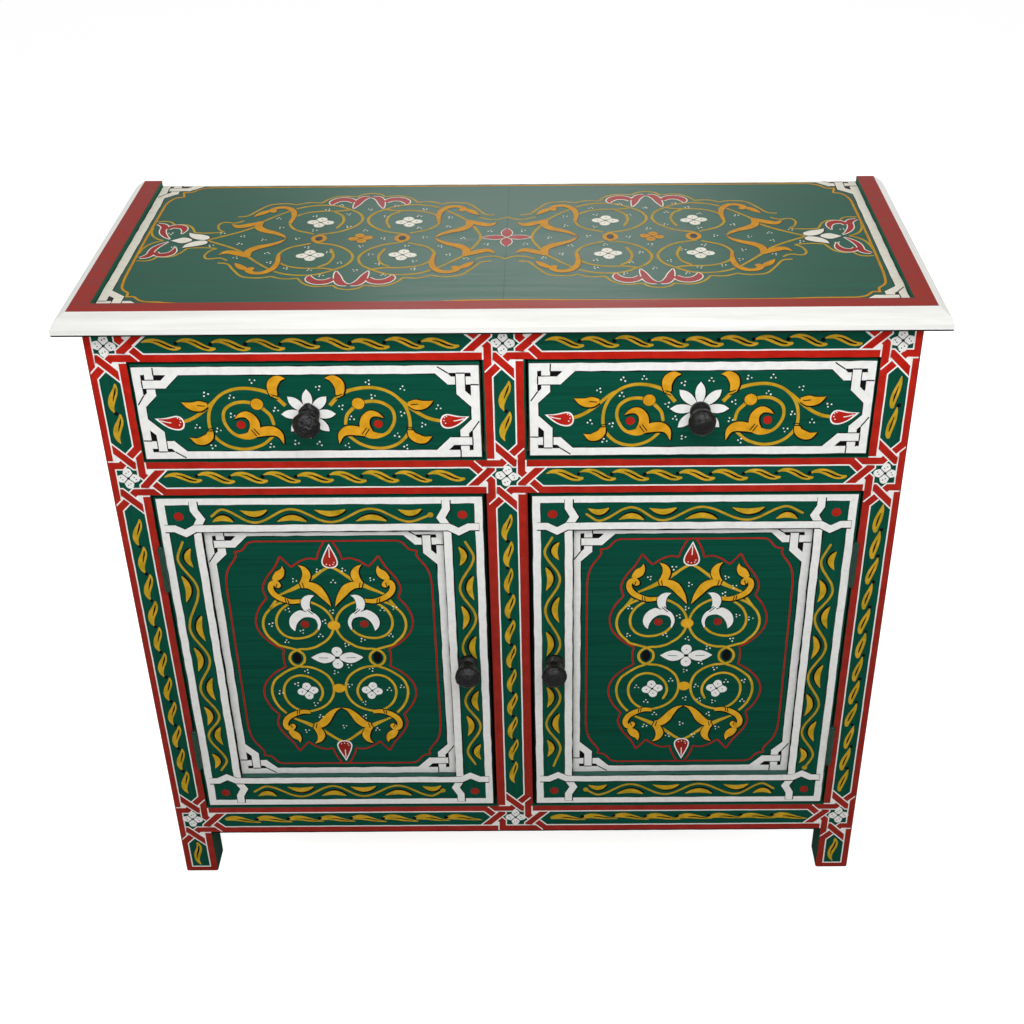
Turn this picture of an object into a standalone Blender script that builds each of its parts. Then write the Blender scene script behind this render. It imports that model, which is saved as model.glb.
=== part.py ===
"""Painted dresser: two drawers over two panelled doors, under a top with a raised tray rim.

Metres, +Z up. The front faces -Y. The origin is on the floor under the middle of the piece.
"""

import math

import bmesh
import bpy

# Overall sizes
TOP_WIDTH = 1.000
TOTAL_HEIGHT = 0.860
CASE_DEPTH = 0.415
FRONT_OVERHANG = 0.026
SIDE_OVERHANG = 0.026

# Gaps: glued or resting faces, and the running gaps round drawers and doors
SEAT = 0.0003
DRAWER_GAP = 0.003
DOOR_GAP = 0.003

# Tray top: sunk panel with a moulded rim on three sides
RIM_HEIGHT = 0.0235
RIM_RISE = 0.007
RIM_FLAT = 0.0228
RIM_SLOPE_WIDTH = 0.0164
RIM_SWELL = 0.001
LIP_HEIGHT = 0.0105
LIP_ROUND = 0.0025
TONGUE_LENGTH = 0.007
TONGUE_THICKNESS = 0.006

# Front frame
POST = 0.045
LEG_HEIGHT = 0.0727
TOP_RAIL = 0.042
MIDDLE_RAIL = 0.0467
BOTTOM_RAIL = 0.0486
MUNTIN = 0.0494
DRAWER_OPENING = 0.1285
RAIL_THICKNESS = 0.022
TENON_LENGTH = 0.022
TENON_THICKNESS = 0.009
TENON_SETBACK = 0.005
TENON_SHOULDER = 0.008
MUNTIN_TENON = 0.012
EDGE_EASE = 0.0012
POST_EASE = 0.0025

# Sides, back and floor
SIDE_PANEL = 0.014
SIDE_RECESS = 0.006
SIDE_TONGUE = 0.008
BACK_PANEL = 0.008
BACK_REBATE = 0.012
FLOOR_THICKNESS = 0.014
FLOOR_DROP = 0.006
FLOOR_WALL = 0.002
STOP_THICKNESS = 0.012
STOP_LAP = 0.010
RUNNER_THICKNESS = 0.018
RUNNER_LEDGE = 0.030
GUIDE_HEIGHT = 0.030

# Drawers
FRONT_THICKNESS = 0.020
FRONT_LAP = 0.008
DRAWER_SIDE = 0.012
DRAWER_SIDE_HEIGHT = 0.100
DRAWER_BACK_HEIGHT = 0.090
DRAWER_BACK_INSET = 0.008
DRAWER_STOP_GAP = 0.0005
DADO = 0.004
DRAWER_BOTTOM = 0.005
DRAWER_BOTTOM_LIFT = 0.008
BOTTOM_TONGUE = 0.005

# Doors
DOOR_THICKNESS = 0.022
DOOR_MEMBER = 0.049
DOOR_PANEL = 0.008
PANEL_RECESS = 0.009
PANEL_TONGUE = 0.008
DOOR_TENON = 0.026
DOOR_HAUNCH = 0.012

# Butt hinges
HINGE_LENGTH = 0.062
HINGE_INSET = 0.101
HINGE_LEAF_WIDTH = 0.018
HINGE_LEAF = 0.0016
HINGE_MORTISE = 0.0006
LEAF_GAP = 0.0004
KNUCKLE_RADIUS = 0.0036
KNUCKLE_COUNT = 5
KNUCKLE_GAP = 0.0004
PIN_RADIUS = 0.0016
PIN_HEAD_RADIUS = 0.0028
PIN_HEAD = 0.0016
PIN_CROWN_RADIUS = 0.002
HINGE_PROUD = 0.0022

# Turned knobs
DRAWER_KNOB_REACH = 0.040
DOOR_KNOB_REACH = 0.042
KNOB_RADIUS = 0.0162
KNOB_DOME = 0.0105
KNOB_TUCK = 0.0085
KNOB_NECK_RADIUS = 0.0106
KNOB_BEAD_HIGH = 0.0115
KNOB_BEAD_MIDDLE = 0.009
KNOB_BEAD_LOW = 0.0065
KNOB_BASE_HEIGHT = 0.004
KNOB_BASE_RADIUS = 0.0122
KNOB_SHANK_RADIUS = 0.004
DRAWER_KNOB_DROP = 0.002
DOOR_KNOB_DROP = 0.0025
DOOR_KNOB_SHIFT = 0.0034
SHANK_INSET = 0.002

# Steps along round shapes
ROUND_SEGMENTS = 16
KNOB_SEGMENTS = 24
DOME_STEPS = 5
ARC_STEPS = 3
SLOPE_STEPS = 5

# Values that follow from the sizes above
CASE_TOP = TOTAL_HEIGHT - RIM_HEIGHT
CASE_HALF = TOP_WIDTH / 2 - SIDE_OVERHANG
POST_IN = CASE_HALF - POST
MUNTIN_HALF = MUNTIN / 2
OPENING_WIDTH = POST_IN - MUNTIN_HALF
OPENING_CENTRE = (POST_IN + MUNTIN_HALF) / 2
TOP_RAIL_LOW = CASE_TOP - TOP_RAIL
MIDDLE_RAIL_HIGH = TOP_RAIL_LOW - DRAWER_OPENING
MIDDLE_RAIL_LOW = MIDDLE_RAIL_HIGH - MIDDLE_RAIL
BOTTOM_RAIL_HIGH = LEG_HEIGHT + BOTTOM_RAIL
FLOOR_HIGH = BOTTOM_RAIL_HIGH - FLOOR_DROP
FLOOR_LOW = FLOOR_HIGH - FLOOR_THICKNESS
FLOOR_FRONT = TENON_SETBACK + TENON_THICKNESS + FLOOR_WALL
BACK_INNER = CASE_DEPTH - BACK_PANEL - SEAT
REAR_RAIL_FRONT = BACK_INNER - RAIL_THICKNESS
REAR_POST_FRONT = CASE_DEPTH - POST
SIDE_OUTER = CASE_HALF - SIDE_RECESS
SIDE_INNER = SIDE_OUTER - SIDE_PANEL
RIM_INNER_HALF = TOP_WIDTH / 2 - RIM_SLOPE_WIDTH - RIM_FLAT
RIM_INNER_FRONT = RIM_SLOPE_WIDTH + RIM_FLAT - FRONT_OVERHANG
FIELD_THICKNESS = RIM_HEIGHT - RIM_RISE
HINGE_GAP = 2 * (HINGE_LEAF + SEAT - HINGE_MORTISE) + LEAF_GAP
DRAWER_DEPTH = BACK_INNER - DRAWER_STOP_GAP
FACE_Y = -(CASE_DEPTH - DOOR_KNOB_REACH) / 2

# Finishes: base colour, roughness, metallic
GREEN_PAINT = ((0.010, 0.085, 0.050), 0.45, 0.0)
WHITE_PAINT = ((0.80, 0.79, 0.75), 0.45, 0.0)
BARE_WOOD = ((0.42, 0.27, 0.14), 0.70, 0.0)
BLACK_IRON = ((0.018, 0.018, 0.019), 0.50, 0.6)
HINGE_STEEL = ((0.35, 0.35, 0.34), 0.40, 1.0)

for old in list(bpy.data.objects):
    bpy.data.objects.remove(old, do_unlink=True)
PARTS = bpy.data.collections.new("painted_dresser")
CUTTERS = bpy.data.collections.new("cutters")
bpy.context.scene.collection.children.link(PARTS)
bpy.context.scene.collection.children.link(CUTTERS)


def place_empty(name, parent, location):
    empty = bpy.data.objects.new(name, None)
    empty.empty_display_size = 0.05
    empty.location = location
    empty.parent = parent
    PARTS.objects.link(empty)
    return empty


def finish_object(name, mesh, parent, location, finish):
    """Make a named part with its own painted, bare or metal finish."""
    colour, roughness, metallic = finish
    material = bpy.data.materials.new(name + "_finish")
    material.use_nodes = True
    shader = material.node_tree.nodes["Principled BSDF"]
    shader.inputs["Base Color"].default_value = (*colour, 1.0)
    shader.inputs["Roughness"].default_value = roughness
    shader.inputs["Metallic"].default_value = metallic
    mesh.materials.append(material)
    part = bpy.data.objects.new(name, mesh)
    part.location = location
    part.parent = parent
    PARTS.objects.link(part)
    return part


def finish_tool(name, mesh, parent, location=(0, 0, 0)):
    """Make a hidden shape that is cut from a part or joined to it."""
    tool = bpy.data.objects.new(name, mesh)
    tool.location = location
    tool.parent = parent
    tool.hide_render = True
    tool.display_type = "WIRE"
    CUTTERS.objects.link(tool)
    return tool


def mesh_from(bm, name):
    bmesh.ops.recalc_face_normals(bm, faces=bm.faces)
    mesh = bpy.data.meshes.new(name)
    bm.to_mesh(mesh)
    bm.free()
    return mesh


def middle_and_size(corner_a, corner_b):
    middle = [(a + b) / 2 for a, b in zip(corner_a, corner_b)]
    size = [abs(a - b) for a, b in zip(corner_a, corner_b)]
    return middle, size


def board(name, parent, corner_a, corner_b, finish, along=None, ease=EDGE_EASE):
    """A board between two opposite corners, its long edges eased along one axis."""
    middle, size = middle_and_size(corner_a, corner_b)
    bm = bmesh.new()
    bmesh.ops.create_cube(bm, size=1.0)
    bmesh.ops.scale(bm, vec=size, verts=bm.verts)
    if along is not None:
        edges = []
        for edge in bm.edges:
            run = edge.verts[1].co - edge.verts[0].co
            if abs(run[along]) > size[along] / 2:
                edges.append(edge)
        bmesh.ops.bevel(bm, geom=edges, offset=ease, segments=2, profile=0.5, affect="EDGES")
    return finish_object(name, mesh_from(bm, name), parent, middle, finish)


def box_tool(name, parent, boxes):
    """One hidden shape made of separate boxes, each given by two opposite corners."""
    bm = bmesh.new()
    for corner_a, corner_b in boxes:
        middle, size = middle_and_size(corner_a, corner_b)
        made = bmesh.ops.create_cube(bm, size=1.0)
        bmesh.ops.scale(bm, vec=size, verts=made["verts"])
        bmesh.ops.translate(bm, vec=middle, verts=made["verts"])
    return finish_tool(name, mesh_from(bm, name), parent)


def rod_tool(name, parent, radius, spans, place=(0, 0, 0), turn=(0, 0, 0)):
    """One hidden shape made of round rods on a shared axis, each with its low and high end."""
    bm = bmesh.new()
    for low, high in spans:
        made = bmesh.ops.create_cone(
            bm, cap_ends=True, segments=ROUND_SEGMENTS, radius1=radius, radius2=radius, depth=high - low
        )
        bmesh.ops.translate(bm, vec=(0, 0, (low + high) / 2), verts=made["verts"])
    tool = finish_tool(name, mesh_from(bm, name), parent, place)
    tool.rotation_euler = turn
    return tool


def combine(part, tool, operation):
    modifier = part.modifiers.new(operation.lower() + "_" + tool.name, "BOOLEAN")
    modifier.operation = operation
    modifier.solver = "EXACT"
    modifier.object = tool


def cut(part, tool):
    combine(part, tool, "DIFFERENCE")


def join(part, tool):
    combine(part, tool, "UNION")


def prism_mesh(name, outline, low, high, place):
    """An outline drawn out from low to high; both ends may slope with the outline."""
    bm = bmesh.new()
    corners = [bm.verts.new(place(u, v, low(u))) for u, v in outline]
    made = bmesh.ops.extrude_face_region(bm, geom=[bm.faces.new(corners)])
    far_end = [item for item in made["geom"] if isinstance(item, bmesh.types.BMVert)]
    for (u, v), corner in zip(outline, corners):
        twin = next(item for item in far_end if (item.co - corner.co).length == 0)
        twin.co = place(u, v, high(u))
    return mesh_from(bm, name)


def turned_part(name, parent, place, turn, profile, segments, finish):
    """A turned piece from a profile of radius and height that runs from top to bottom."""
    mesh = bpy.data.meshes.new(name)
    points = [(radius, 0.0, height) for radius, height in profile]
    edges = [(index, index + 1) for index in range(len(points) - 1)]
    mesh.from_pydata(points, edges, [])
    part = finish_object(name, mesh, parent, place, finish)
    part.rotation_euler = turn
    screw = part.modifiers.new("turning", "SCREW")
    screw.steps = segments
    screw.render_steps = segments
    screw.use_merge_vertices = True
    screw.merge_threshold = 0.00001
    screw.use_smooth_shade = True
    return part


def arc_points(centre, radius, start, end, steps):
    """Points on an arc, from start to end in degrees."""
    points = []
    for step in range(steps + 1):
        angle = math.radians(start + (end - start) * step / steps)
        points.append((centre[0] + radius * math.cos(angle), centre[1] + radius * math.sin(angle)))
    return points


# Top: mitred rim moulding tongued round a sunk panel
def rim_outline():
    """Section of the rim: distance out from its inner edge, and height above the case."""
    width = RIM_FLAT + RIM_SLOPE_WIDTH
    groove_middle = FIELD_THICKNESS / 2
    groove_low = groove_middle - TONGUE_THICKNESS / 2 - SEAT
    groove_high = groove_middle + TONGUE_THICKNESS / 2 + SEAT
    groove_depth = TONGUE_LENGTH + SEAT
    outline = [(0, 0), (0, groove_low), (groove_depth, groove_low), (groove_depth, groove_high)]
    outline += [(0, groove_high), (0, RIM_HEIGHT)]
    drop = RIM_HEIGHT - LIP_HEIGHT
    for step in range(SLOPE_STEPS):
        share = step / SLOPE_STEPS
        swell = RIM_SWELL * math.sin(math.pi * share)
        outline.append((RIM_FLAT + RIM_SLOPE_WIDTH * share + swell, RIM_HEIGHT - drop * share + swell))
    outline += arc_points((width - LIP_ROUND, LIP_HEIGHT - LIP_ROUND), LIP_ROUND, 50, 0, ARC_STEPS)
    outline += arc_points((width - LIP_ROUND, LIP_ROUND), LIP_ROUND, 0, -90, ARC_STEPS)
    return outline


def make_top(case):
    outline = rim_outline()
    mitre_gap = SEAT / 2
    field_half = RIM_INNER_HALF - SEAT
    field_front = RIM_INNER_FRONT + SEAT
    field_high = CASE_TOP + FIELD_THICKNESS
    field_corner = (-field_half, field_front, CASE_TOP)
    panel = board("top_panel", case, field_corner, (field_half, CASE_DEPTH, field_high), GREEN_PAINT)
    tongue_low = CASE_TOP + (FIELD_THICKNESS - TONGUE_THICKNESS) / 2
    tongue_corner = (-field_half - TONGUE_LENGTH, field_front - TONGUE_LENGTH, tongue_low)
    tongue_far = (field_half + TONGUE_LENGTH, CASE_DEPTH, tongue_low + TONGUE_THICKNESS)
    join(panel, box_tool("top_panel_tongue", case, [(tongue_corner, tongue_far)]))

    front = prism_mesh(
        "top_moulding_front",
        outline,
        lambda out: mitre_gap - RIM_INNER_HALF - out,
        lambda out: RIM_INNER_HALF + out - mitre_gap,
        lambda out, height, along: (along, RIM_INNER_FRONT - out, CASE_TOP + height),
    )
    finish_object("top_moulding_front", front, case, (0, 0, 0), WHITE_PAINT)
    for name, side in (("top_moulding_left", -1), ("top_moulding_right", 1)):
        mesh = prism_mesh(
            name,
            outline,
            lambda out: RIM_INNER_FRONT - out + mitre_gap,
            lambda out: CASE_DEPTH,
            lambda out, height, along, side=side: (side * (RIM_INNER_HALF + out), along, CASE_TOP + height),
        )
        finish_object(name, mesh, case, (0, 0, 0), WHITE_PAINT)


# Case: posts, tenoned rails, muntins, panels and runners
def tenon_boxes(low_x, high_x, front, low_z, high_z, slack):
    """Tenons at both ends of a rail, or with slack the mortises that take them."""
    near = front + TENON_SETBACK - slack
    far = front + TENON_SETBACK + TENON_THICKNESS + slack
    bottom = low_z + TENON_SHOULDER - slack
    top = high_z - TENON_SHOULDER + slack
    reach = TENON_LENGTH + slack
    root = TENON_SHOULDER - 2 * slack
    left = ((low_x - reach, near, bottom), (low_x + root, far, top))
    right = ((high_x - root, near, bottom), (high_x + reach, far, top))
    return [left, right]


RAILS = (
    ("rail_top_front", 0.0, TOP_RAIL_LOW, CASE_TOP - SEAT, GREEN_PAINT),
    ("rail_middle_front", 0.0, MIDDLE_RAIL_LOW, MIDDLE_RAIL_HIGH, GREEN_PAINT),
    ("rail_bottom_front", 0.0, LEG_HEIGHT, BOTTOM_RAIL_HIGH, GREEN_PAINT),
    ("rail_top_rear", REAR_RAIL_FRONT, TOP_RAIL_LOW, CASE_TOP - SEAT, BARE_WOOD),
    ("rail_middle_rear", REAR_RAIL_FRONT, MIDDLE_RAIL_LOW, MIDDLE_RAIL_HIGH, BARE_WOOD),
    ("rail_bottom_rear", REAR_RAIL_FRONT, LEG_HEIGHT, FLOOR_LOW - SEAT, BARE_WOOD),
)


def make_posts(case):
    posts = {}
    for depth_name, front in (("front", 0.0), ("rear", REAR_POST_FRONT)):
        for side_name, side in (("left", -1), ("right", 1)):
            name = "post_" + depth_name + "_" + side_name
            corner = (side * POST_IN, front, 0)
            far = (side * CASE_HALF, front + POST, CASE_TOP - SEAT)
            posts[depth_name, side_name] = board(name, case, corner, far, GREEN_PAINT, 2, POST_EASE)
    return posts


def cut_posts(case, posts):
    """Mortises for the rails, grooves for the side panels and a rebate for the back."""
    mortises = {"front": [], "rear": []}
    for name, front, low, high, finish in RAILS:
        place = "rear" if front else "front"
        mortises[place] += tenon_boxes(-POST_IN, POST_IN, front, low, high, SEAT)
    for (depth_name, side_name), post in posts.items():
        side = -1 if side_name == "left" else 1
        boxes = [box for box in mortises[depth_name] if box[0][0] * side > 0]
        groove_out = side * (SIDE_OUTER + SEAT)
        groove_in = side * (SIDE_INNER - SEAT)
        groove_low = LEG_HEIGHT - SEAT
        if depth_name == "front":
            groove_near = POST - SIDE_TONGUE - SEAT
            groove_far = POST * 2
        else:
            groove_near = REAR_POST_FRONT - POST
            groove_far = REAR_POST_FRONT + SIDE_TONGUE + SEAT
        boxes.append(((groove_in, groove_near, groove_low), (groove_out, groove_far, TOTAL_HEIGHT)))
        cut(post, box_tool(post.name + "_cuts", case, boxes))
        if depth_name == "rear":
            inside = (side * (POST_IN - POST), BACK_INNER, LEG_HEIGHT - SEAT)
            outside = (side * (POST_IN + BACK_REBATE + SEAT), CASE_DEPTH + POST, TOTAL_HEIGHT)
            cut(post, box_tool(post.name + "_rebate", case, [(inside, outside)]))


def muntin_tenon(low_z, high_z, slack):
    half = MUNTIN_HALF - TENON_SHOULDER + slack
    near = TENON_SETBACK - slack
    far = TENON_SETBACK + TENON_THICKNESS + slack
    return ((-half, near, low_z - MUNTIN_TENON - slack), (half, far, high_z + MUNTIN_TENON + slack))


def make_frame(case):
    """Front and rear rails, and the two muntins between the front rails."""
    rails = {}
    low_x = -POST_IN + SEAT
    for name, front, low, high, finish in RAILS:
        corner = (low_x, front, low)
        far = (-low_x, front + RAIL_THICKNESS, high)
        rail = board(name, case, corner, far, finish, 0)
        tenons = tenon_boxes(low_x, -low_x, front, low, high, 0.0)
        join(rail, box_tool(name + "_tenons", case, tenons))
        rails[name] = rail
    muntins = (
        ("muntin_upper", MIDDLE_RAIL_HIGH, TOP_RAIL_LOW, "rail_middle_front", "rail_top_front"),
        ("muntin_lower", BOTTOM_RAIL_HIGH, MIDDLE_RAIL_LOW, "rail_bottom_front", "rail_middle_front"),
    )
    for name, low, high, lower_rail, upper_rail in muntins:
        corner = (-MUNTIN_HALF, 0, low + SEAT)
        far = (MUNTIN_HALF, RAIL_THICKNESS, high - SEAT)
        muntin = board(name, case, corner, far, GREEN_PAINT, 2)
        join(muntin, box_tool(name + "_tenons", case, [muntin_tenon(low, high, 0.0)]))
        mortise = box_tool(name + "_mortises", case, [muntin_tenon(low, high, SEAT)])
        cut(rails[lower_rail], mortise)
        cut(rails[upper_rail], mortise)
    groove_near = (-POST_IN, FLOOR_FRONT - SEAT, FLOOR_LOW - SEAT)
    groove_far = (POST_IN, RAIL_THICKNESS + POST, FLOOR_HIGH + SEAT)
    cut(rails["rail_bottom_front"], box_tool("floor_groove", case, [(groove_near, groove_far)]))


def make_panels(case):
    """Side panels in the post grooves, the back in its rebate, the floor and the door stop."""
    tongue = SIDE_TONGUE
    for name, side in (("side_panel_left", -1), ("side_panel_right", 1)):
        corner = (side * SIDE_INNER, POST - tongue, LEG_HEIGHT)
        far = (side * SIDE_OUTER, REAR_POST_FRONT + tongue, CASE_TOP - SEAT)
        board(name, case, corner, far, GREEN_PAINT)
    back_half = POST_IN + BACK_REBATE
    back_low = (-back_half, CASE_DEPTH - BACK_PANEL, LEG_HEIGHT)
    board("back_panel", case, back_low, (back_half, CASE_DEPTH, CASE_TOP - SEAT), BARE_WOOD)

    floor_half = SIDE_INNER - SEAT
    floor_corner = (-floor_half, FLOOR_FRONT, FLOOR_LOW)
    floor = board("case_floor", case, floor_corner, (floor_half, BACK_INNER, FLOOR_HIGH), BARE_WOOD)
    notches = []
    for side in (-1, 1):
        inside = side * (POST_IN - SEAT)
        outside = side * (CASE_HALF + POST)
        notches.append(((inside, -POST, 0), (outside, POST + SEAT, TOTAL_HEIGHT)))
        notches.append(((inside, REAR_POST_FRONT - SEAT, 0), (outside, CASE_DEPTH + POST, TOTAL_HEIGHT)))
    cut(floor, box_tool("floor_notches", case, notches))

    stop_half = MUNTIN_HALF + DOOR_GAP + STOP_LAP
    stop_front = max(RAIL_THICKNESS, DOOR_THICKNESS) + SEAT
    stop_corner = (-stop_half, stop_front, FLOOR_HIGH + SEAT)
    stop_far = (stop_half, stop_front + STOP_THICKNESS, MIDDLE_RAIL_LOW)
    board("door_stop", case, stop_corner, stop_far, BARE_WOOD, 2)


def make_runners(case):
    """Side runners with a step along each case side, and a middle one that serves both drawers."""
    high = MIDDLE_RAIL_HIGH
    low = high - RUNNER_THICKNESS
    guide = high + GUIDE_HEIGHT
    ledge = POST_IN - RUNNER_LEDGE
    wall = SIDE_INNER - SEAT
    step = [(wall, low), (ledge, low), (ledge, high), (POST_IN, high), (POST_IN, guide), (wall, guide)]
    for name, side in (("drawer_runner_left", -1), ("drawer_runner_right", 1)):
        mesh = prism_mesh(
            name,
            step,
            lambda across: POST + SEAT,
            lambda across: REAR_POST_FRONT - SEAT,
            lambda across, height, along, side=side: (side * across, along, height),
        )
        finish_object(name, mesh, case, (0, 0, 0), BARE_WOOD)
    ledge = MUNTIN_HALF + RUNNER_LEDGE
    right_half = [(ledge, low), (ledge, high), (MUNTIN_HALF, high), (MUNTIN_HALF, guide)]
    left_half = [(-across, height) for across, height in reversed(right_half)]
    mesh = prism_mesh(
        "drawer_runner_centre",
        right_half + left_half,
        lambda across: RAIL_THICKNESS + SEAT,
        lambda across: REAR_RAIL_FRONT - SEAT,
        lambda across, height, along: (across, along, height),
    )
    finish_object("drawer_runner_centre", mesh, case, (0, 0, 0), BARE_WOOD)


# Turned knob with a shank that passes through the front it is fixed to
def knob_profile(reach, through):
    """Radius and height above the front, from the crown of the head to the end of the shank."""
    widest = reach - KNOB_DOME
    overhang = KNOB_RADIUS - KNOB_NECK_RADIUS
    profile = [(0.0, reach)]
    for step in range(1, DOME_STEPS + 1):
        angle = math.radians(90 * step / DOME_STEPS)
        profile.append((KNOB_RADIUS * math.sin(angle), widest + KNOB_DOME * math.cos(angle)))
    for step in range(1, ARC_STEPS + 1):
        angle = math.radians(90 * step / ARC_STEPS)
        ring = KNOB_NECK_RADIUS + overhang * math.cos(angle)
        profile.append((ring, widest - KNOB_TUCK * math.sin(angle)))
    profile.append((KNOB_NECK_RADIUS, KNOB_BEAD_HIGH))
    profile.append((KNOB_BASE_RADIUS, KNOB_BEAD_MIDDLE))
    profile.append((KNOB_NECK_RADIUS, KNOB_BEAD_LOW))
    profile.append((KNOB_BASE_RADIUS, KNOB_BASE_HEIGHT))
    profile.append((KNOB_BASE_RADIUS, SEAT))
    profile.append((KNOB_SHANK_RADIUS, SEAT))
    profile.append((KNOB_SHANK_RADIUS, -through))
    profile.append((0.0, -through))
    return profile


def make_knob(name, parent, place, reach, host, host_thickness):
    """A knob on its host, whose face looks to -Y, and the hole for its shank."""
    forward = (math.pi / 2, 0, 0)
    profile = knob_profile(reach, host_thickness - SHANK_INSET)
    turned_part(name, parent, place, forward, profile, KNOB_SEGMENTS, BLACK_IRON)
    span = [(-2 * host_thickness, host_thickness)]
    hole = rod_tool(name + "_hole", parent, KNOB_SHANK_RADIUS + SEAT, span, place, forward)
    cut(host, hole)


# Drawers, each built about the middle of its opening at the front face
def make_drawer(name, case, centre):
    slide = place_empty(name + "_slide", case, (centre, 0, MIDDLE_RAIL_HIGH))
    half = OPENING_WIDTH / 2 - DRAWER_GAP
    front_high = DRAWER_OPENING - DRAWER_GAP
    inner = half - DRAWER_SIDE
    depth = DRAWER_DEPTH
    bottom_low = DRAWER_BOTTOM_LIFT
    bottom_high = bottom_low + DRAWER_BOTTOM
    back_front = depth - DRAWER_BACK_INSET - DRAWER_SIDE

    corner = (-half, 0, DRAWER_GAP)
    front = board(name + "_front", slide, corner, (half, FRONT_THICKNESS, front_high), GREEN_PAINT, 0)
    behind = FRONT_THICKNESS * 2
    rebates = []
    for side in (-1, 1):
        shoulder = (side * (inner - SEAT), FRONT_LAP, -DRAWER_GAP)
        rebates.append((shoulder, (side * (half + DRAWER_SIDE), behind, DRAWER_OPENING + DRAWER_GAP)))
    cut(front, box_tool(name + "_front_rebates", slide, rebates))
    groove_half = inner - 2 * SEAT
    groove_front = FRONT_THICKNESS - BOTTOM_TONGUE - SEAT
    groove_low = (-groove_half - DRAWER_SIDE, groove_front, bottom_low - SEAT)
    groove_high = (groove_half + DRAWER_SIDE, behind, bottom_high + SEAT)
    cut(front, box_tool(name + "_front_groove", slide, [(groove_low, groove_high)]))

    for side_name, side in (("left", -1), ("right", 1)):
        near = (side * inner, FRONT_LAP + SEAT, SEAT)
        far = (side * half, depth, DRAWER_SIDE_HEIGHT)
        wall = board(name + "_" + side_name + "_side", slide, near, far, BARE_WOOD)
        groove = (
            (side * (inner - DRAWER_SIDE), -depth, bottom_low - SEAT),
            (side * (inner + BOTTOM_TONGUE + SEAT), depth * 2, bottom_high + SEAT),
        )
        cut(wall, box_tool(wall.name + "_groove", slide, [groove]))
        dado = (
            (side * (inner - DRAWER_SIDE), back_front - SEAT, bottom_high - SEAT),
            (side * (inner + DADO + SEAT), back_front + DRAWER_SIDE + SEAT, DRAWER_SIDE_HEIGHT * 2),
        )
        cut(wall, box_tool(wall.name + "_dado", slide, [dado]))

    back_half = inner + DADO
    back_low = (-back_half, back_front, bottom_high + SEAT)
    back_far = (back_half, back_front + DRAWER_SIDE, DRAWER_BACK_HEIGHT)
    board(name + "_back", slide, back_low, back_far, BARE_WOOD)
    bottom_half = inner + BOTTOM_TONGUE
    bottom_near = (-bottom_half, FRONT_THICKNESS - BOTTOM_TONGUE, bottom_low)
    board(name + "_bottom", slide, bottom_near, (bottom_half, depth, bottom_high), BARE_WOOD)
    knob_place = (0, 0, DRAWER_OPENING / 2 - DRAWER_KNOB_DROP)
    make_knob(name + "_knob", slide, knob_place, DRAWER_KNOB_REACH, front, FRONT_THICKNESS)


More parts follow.
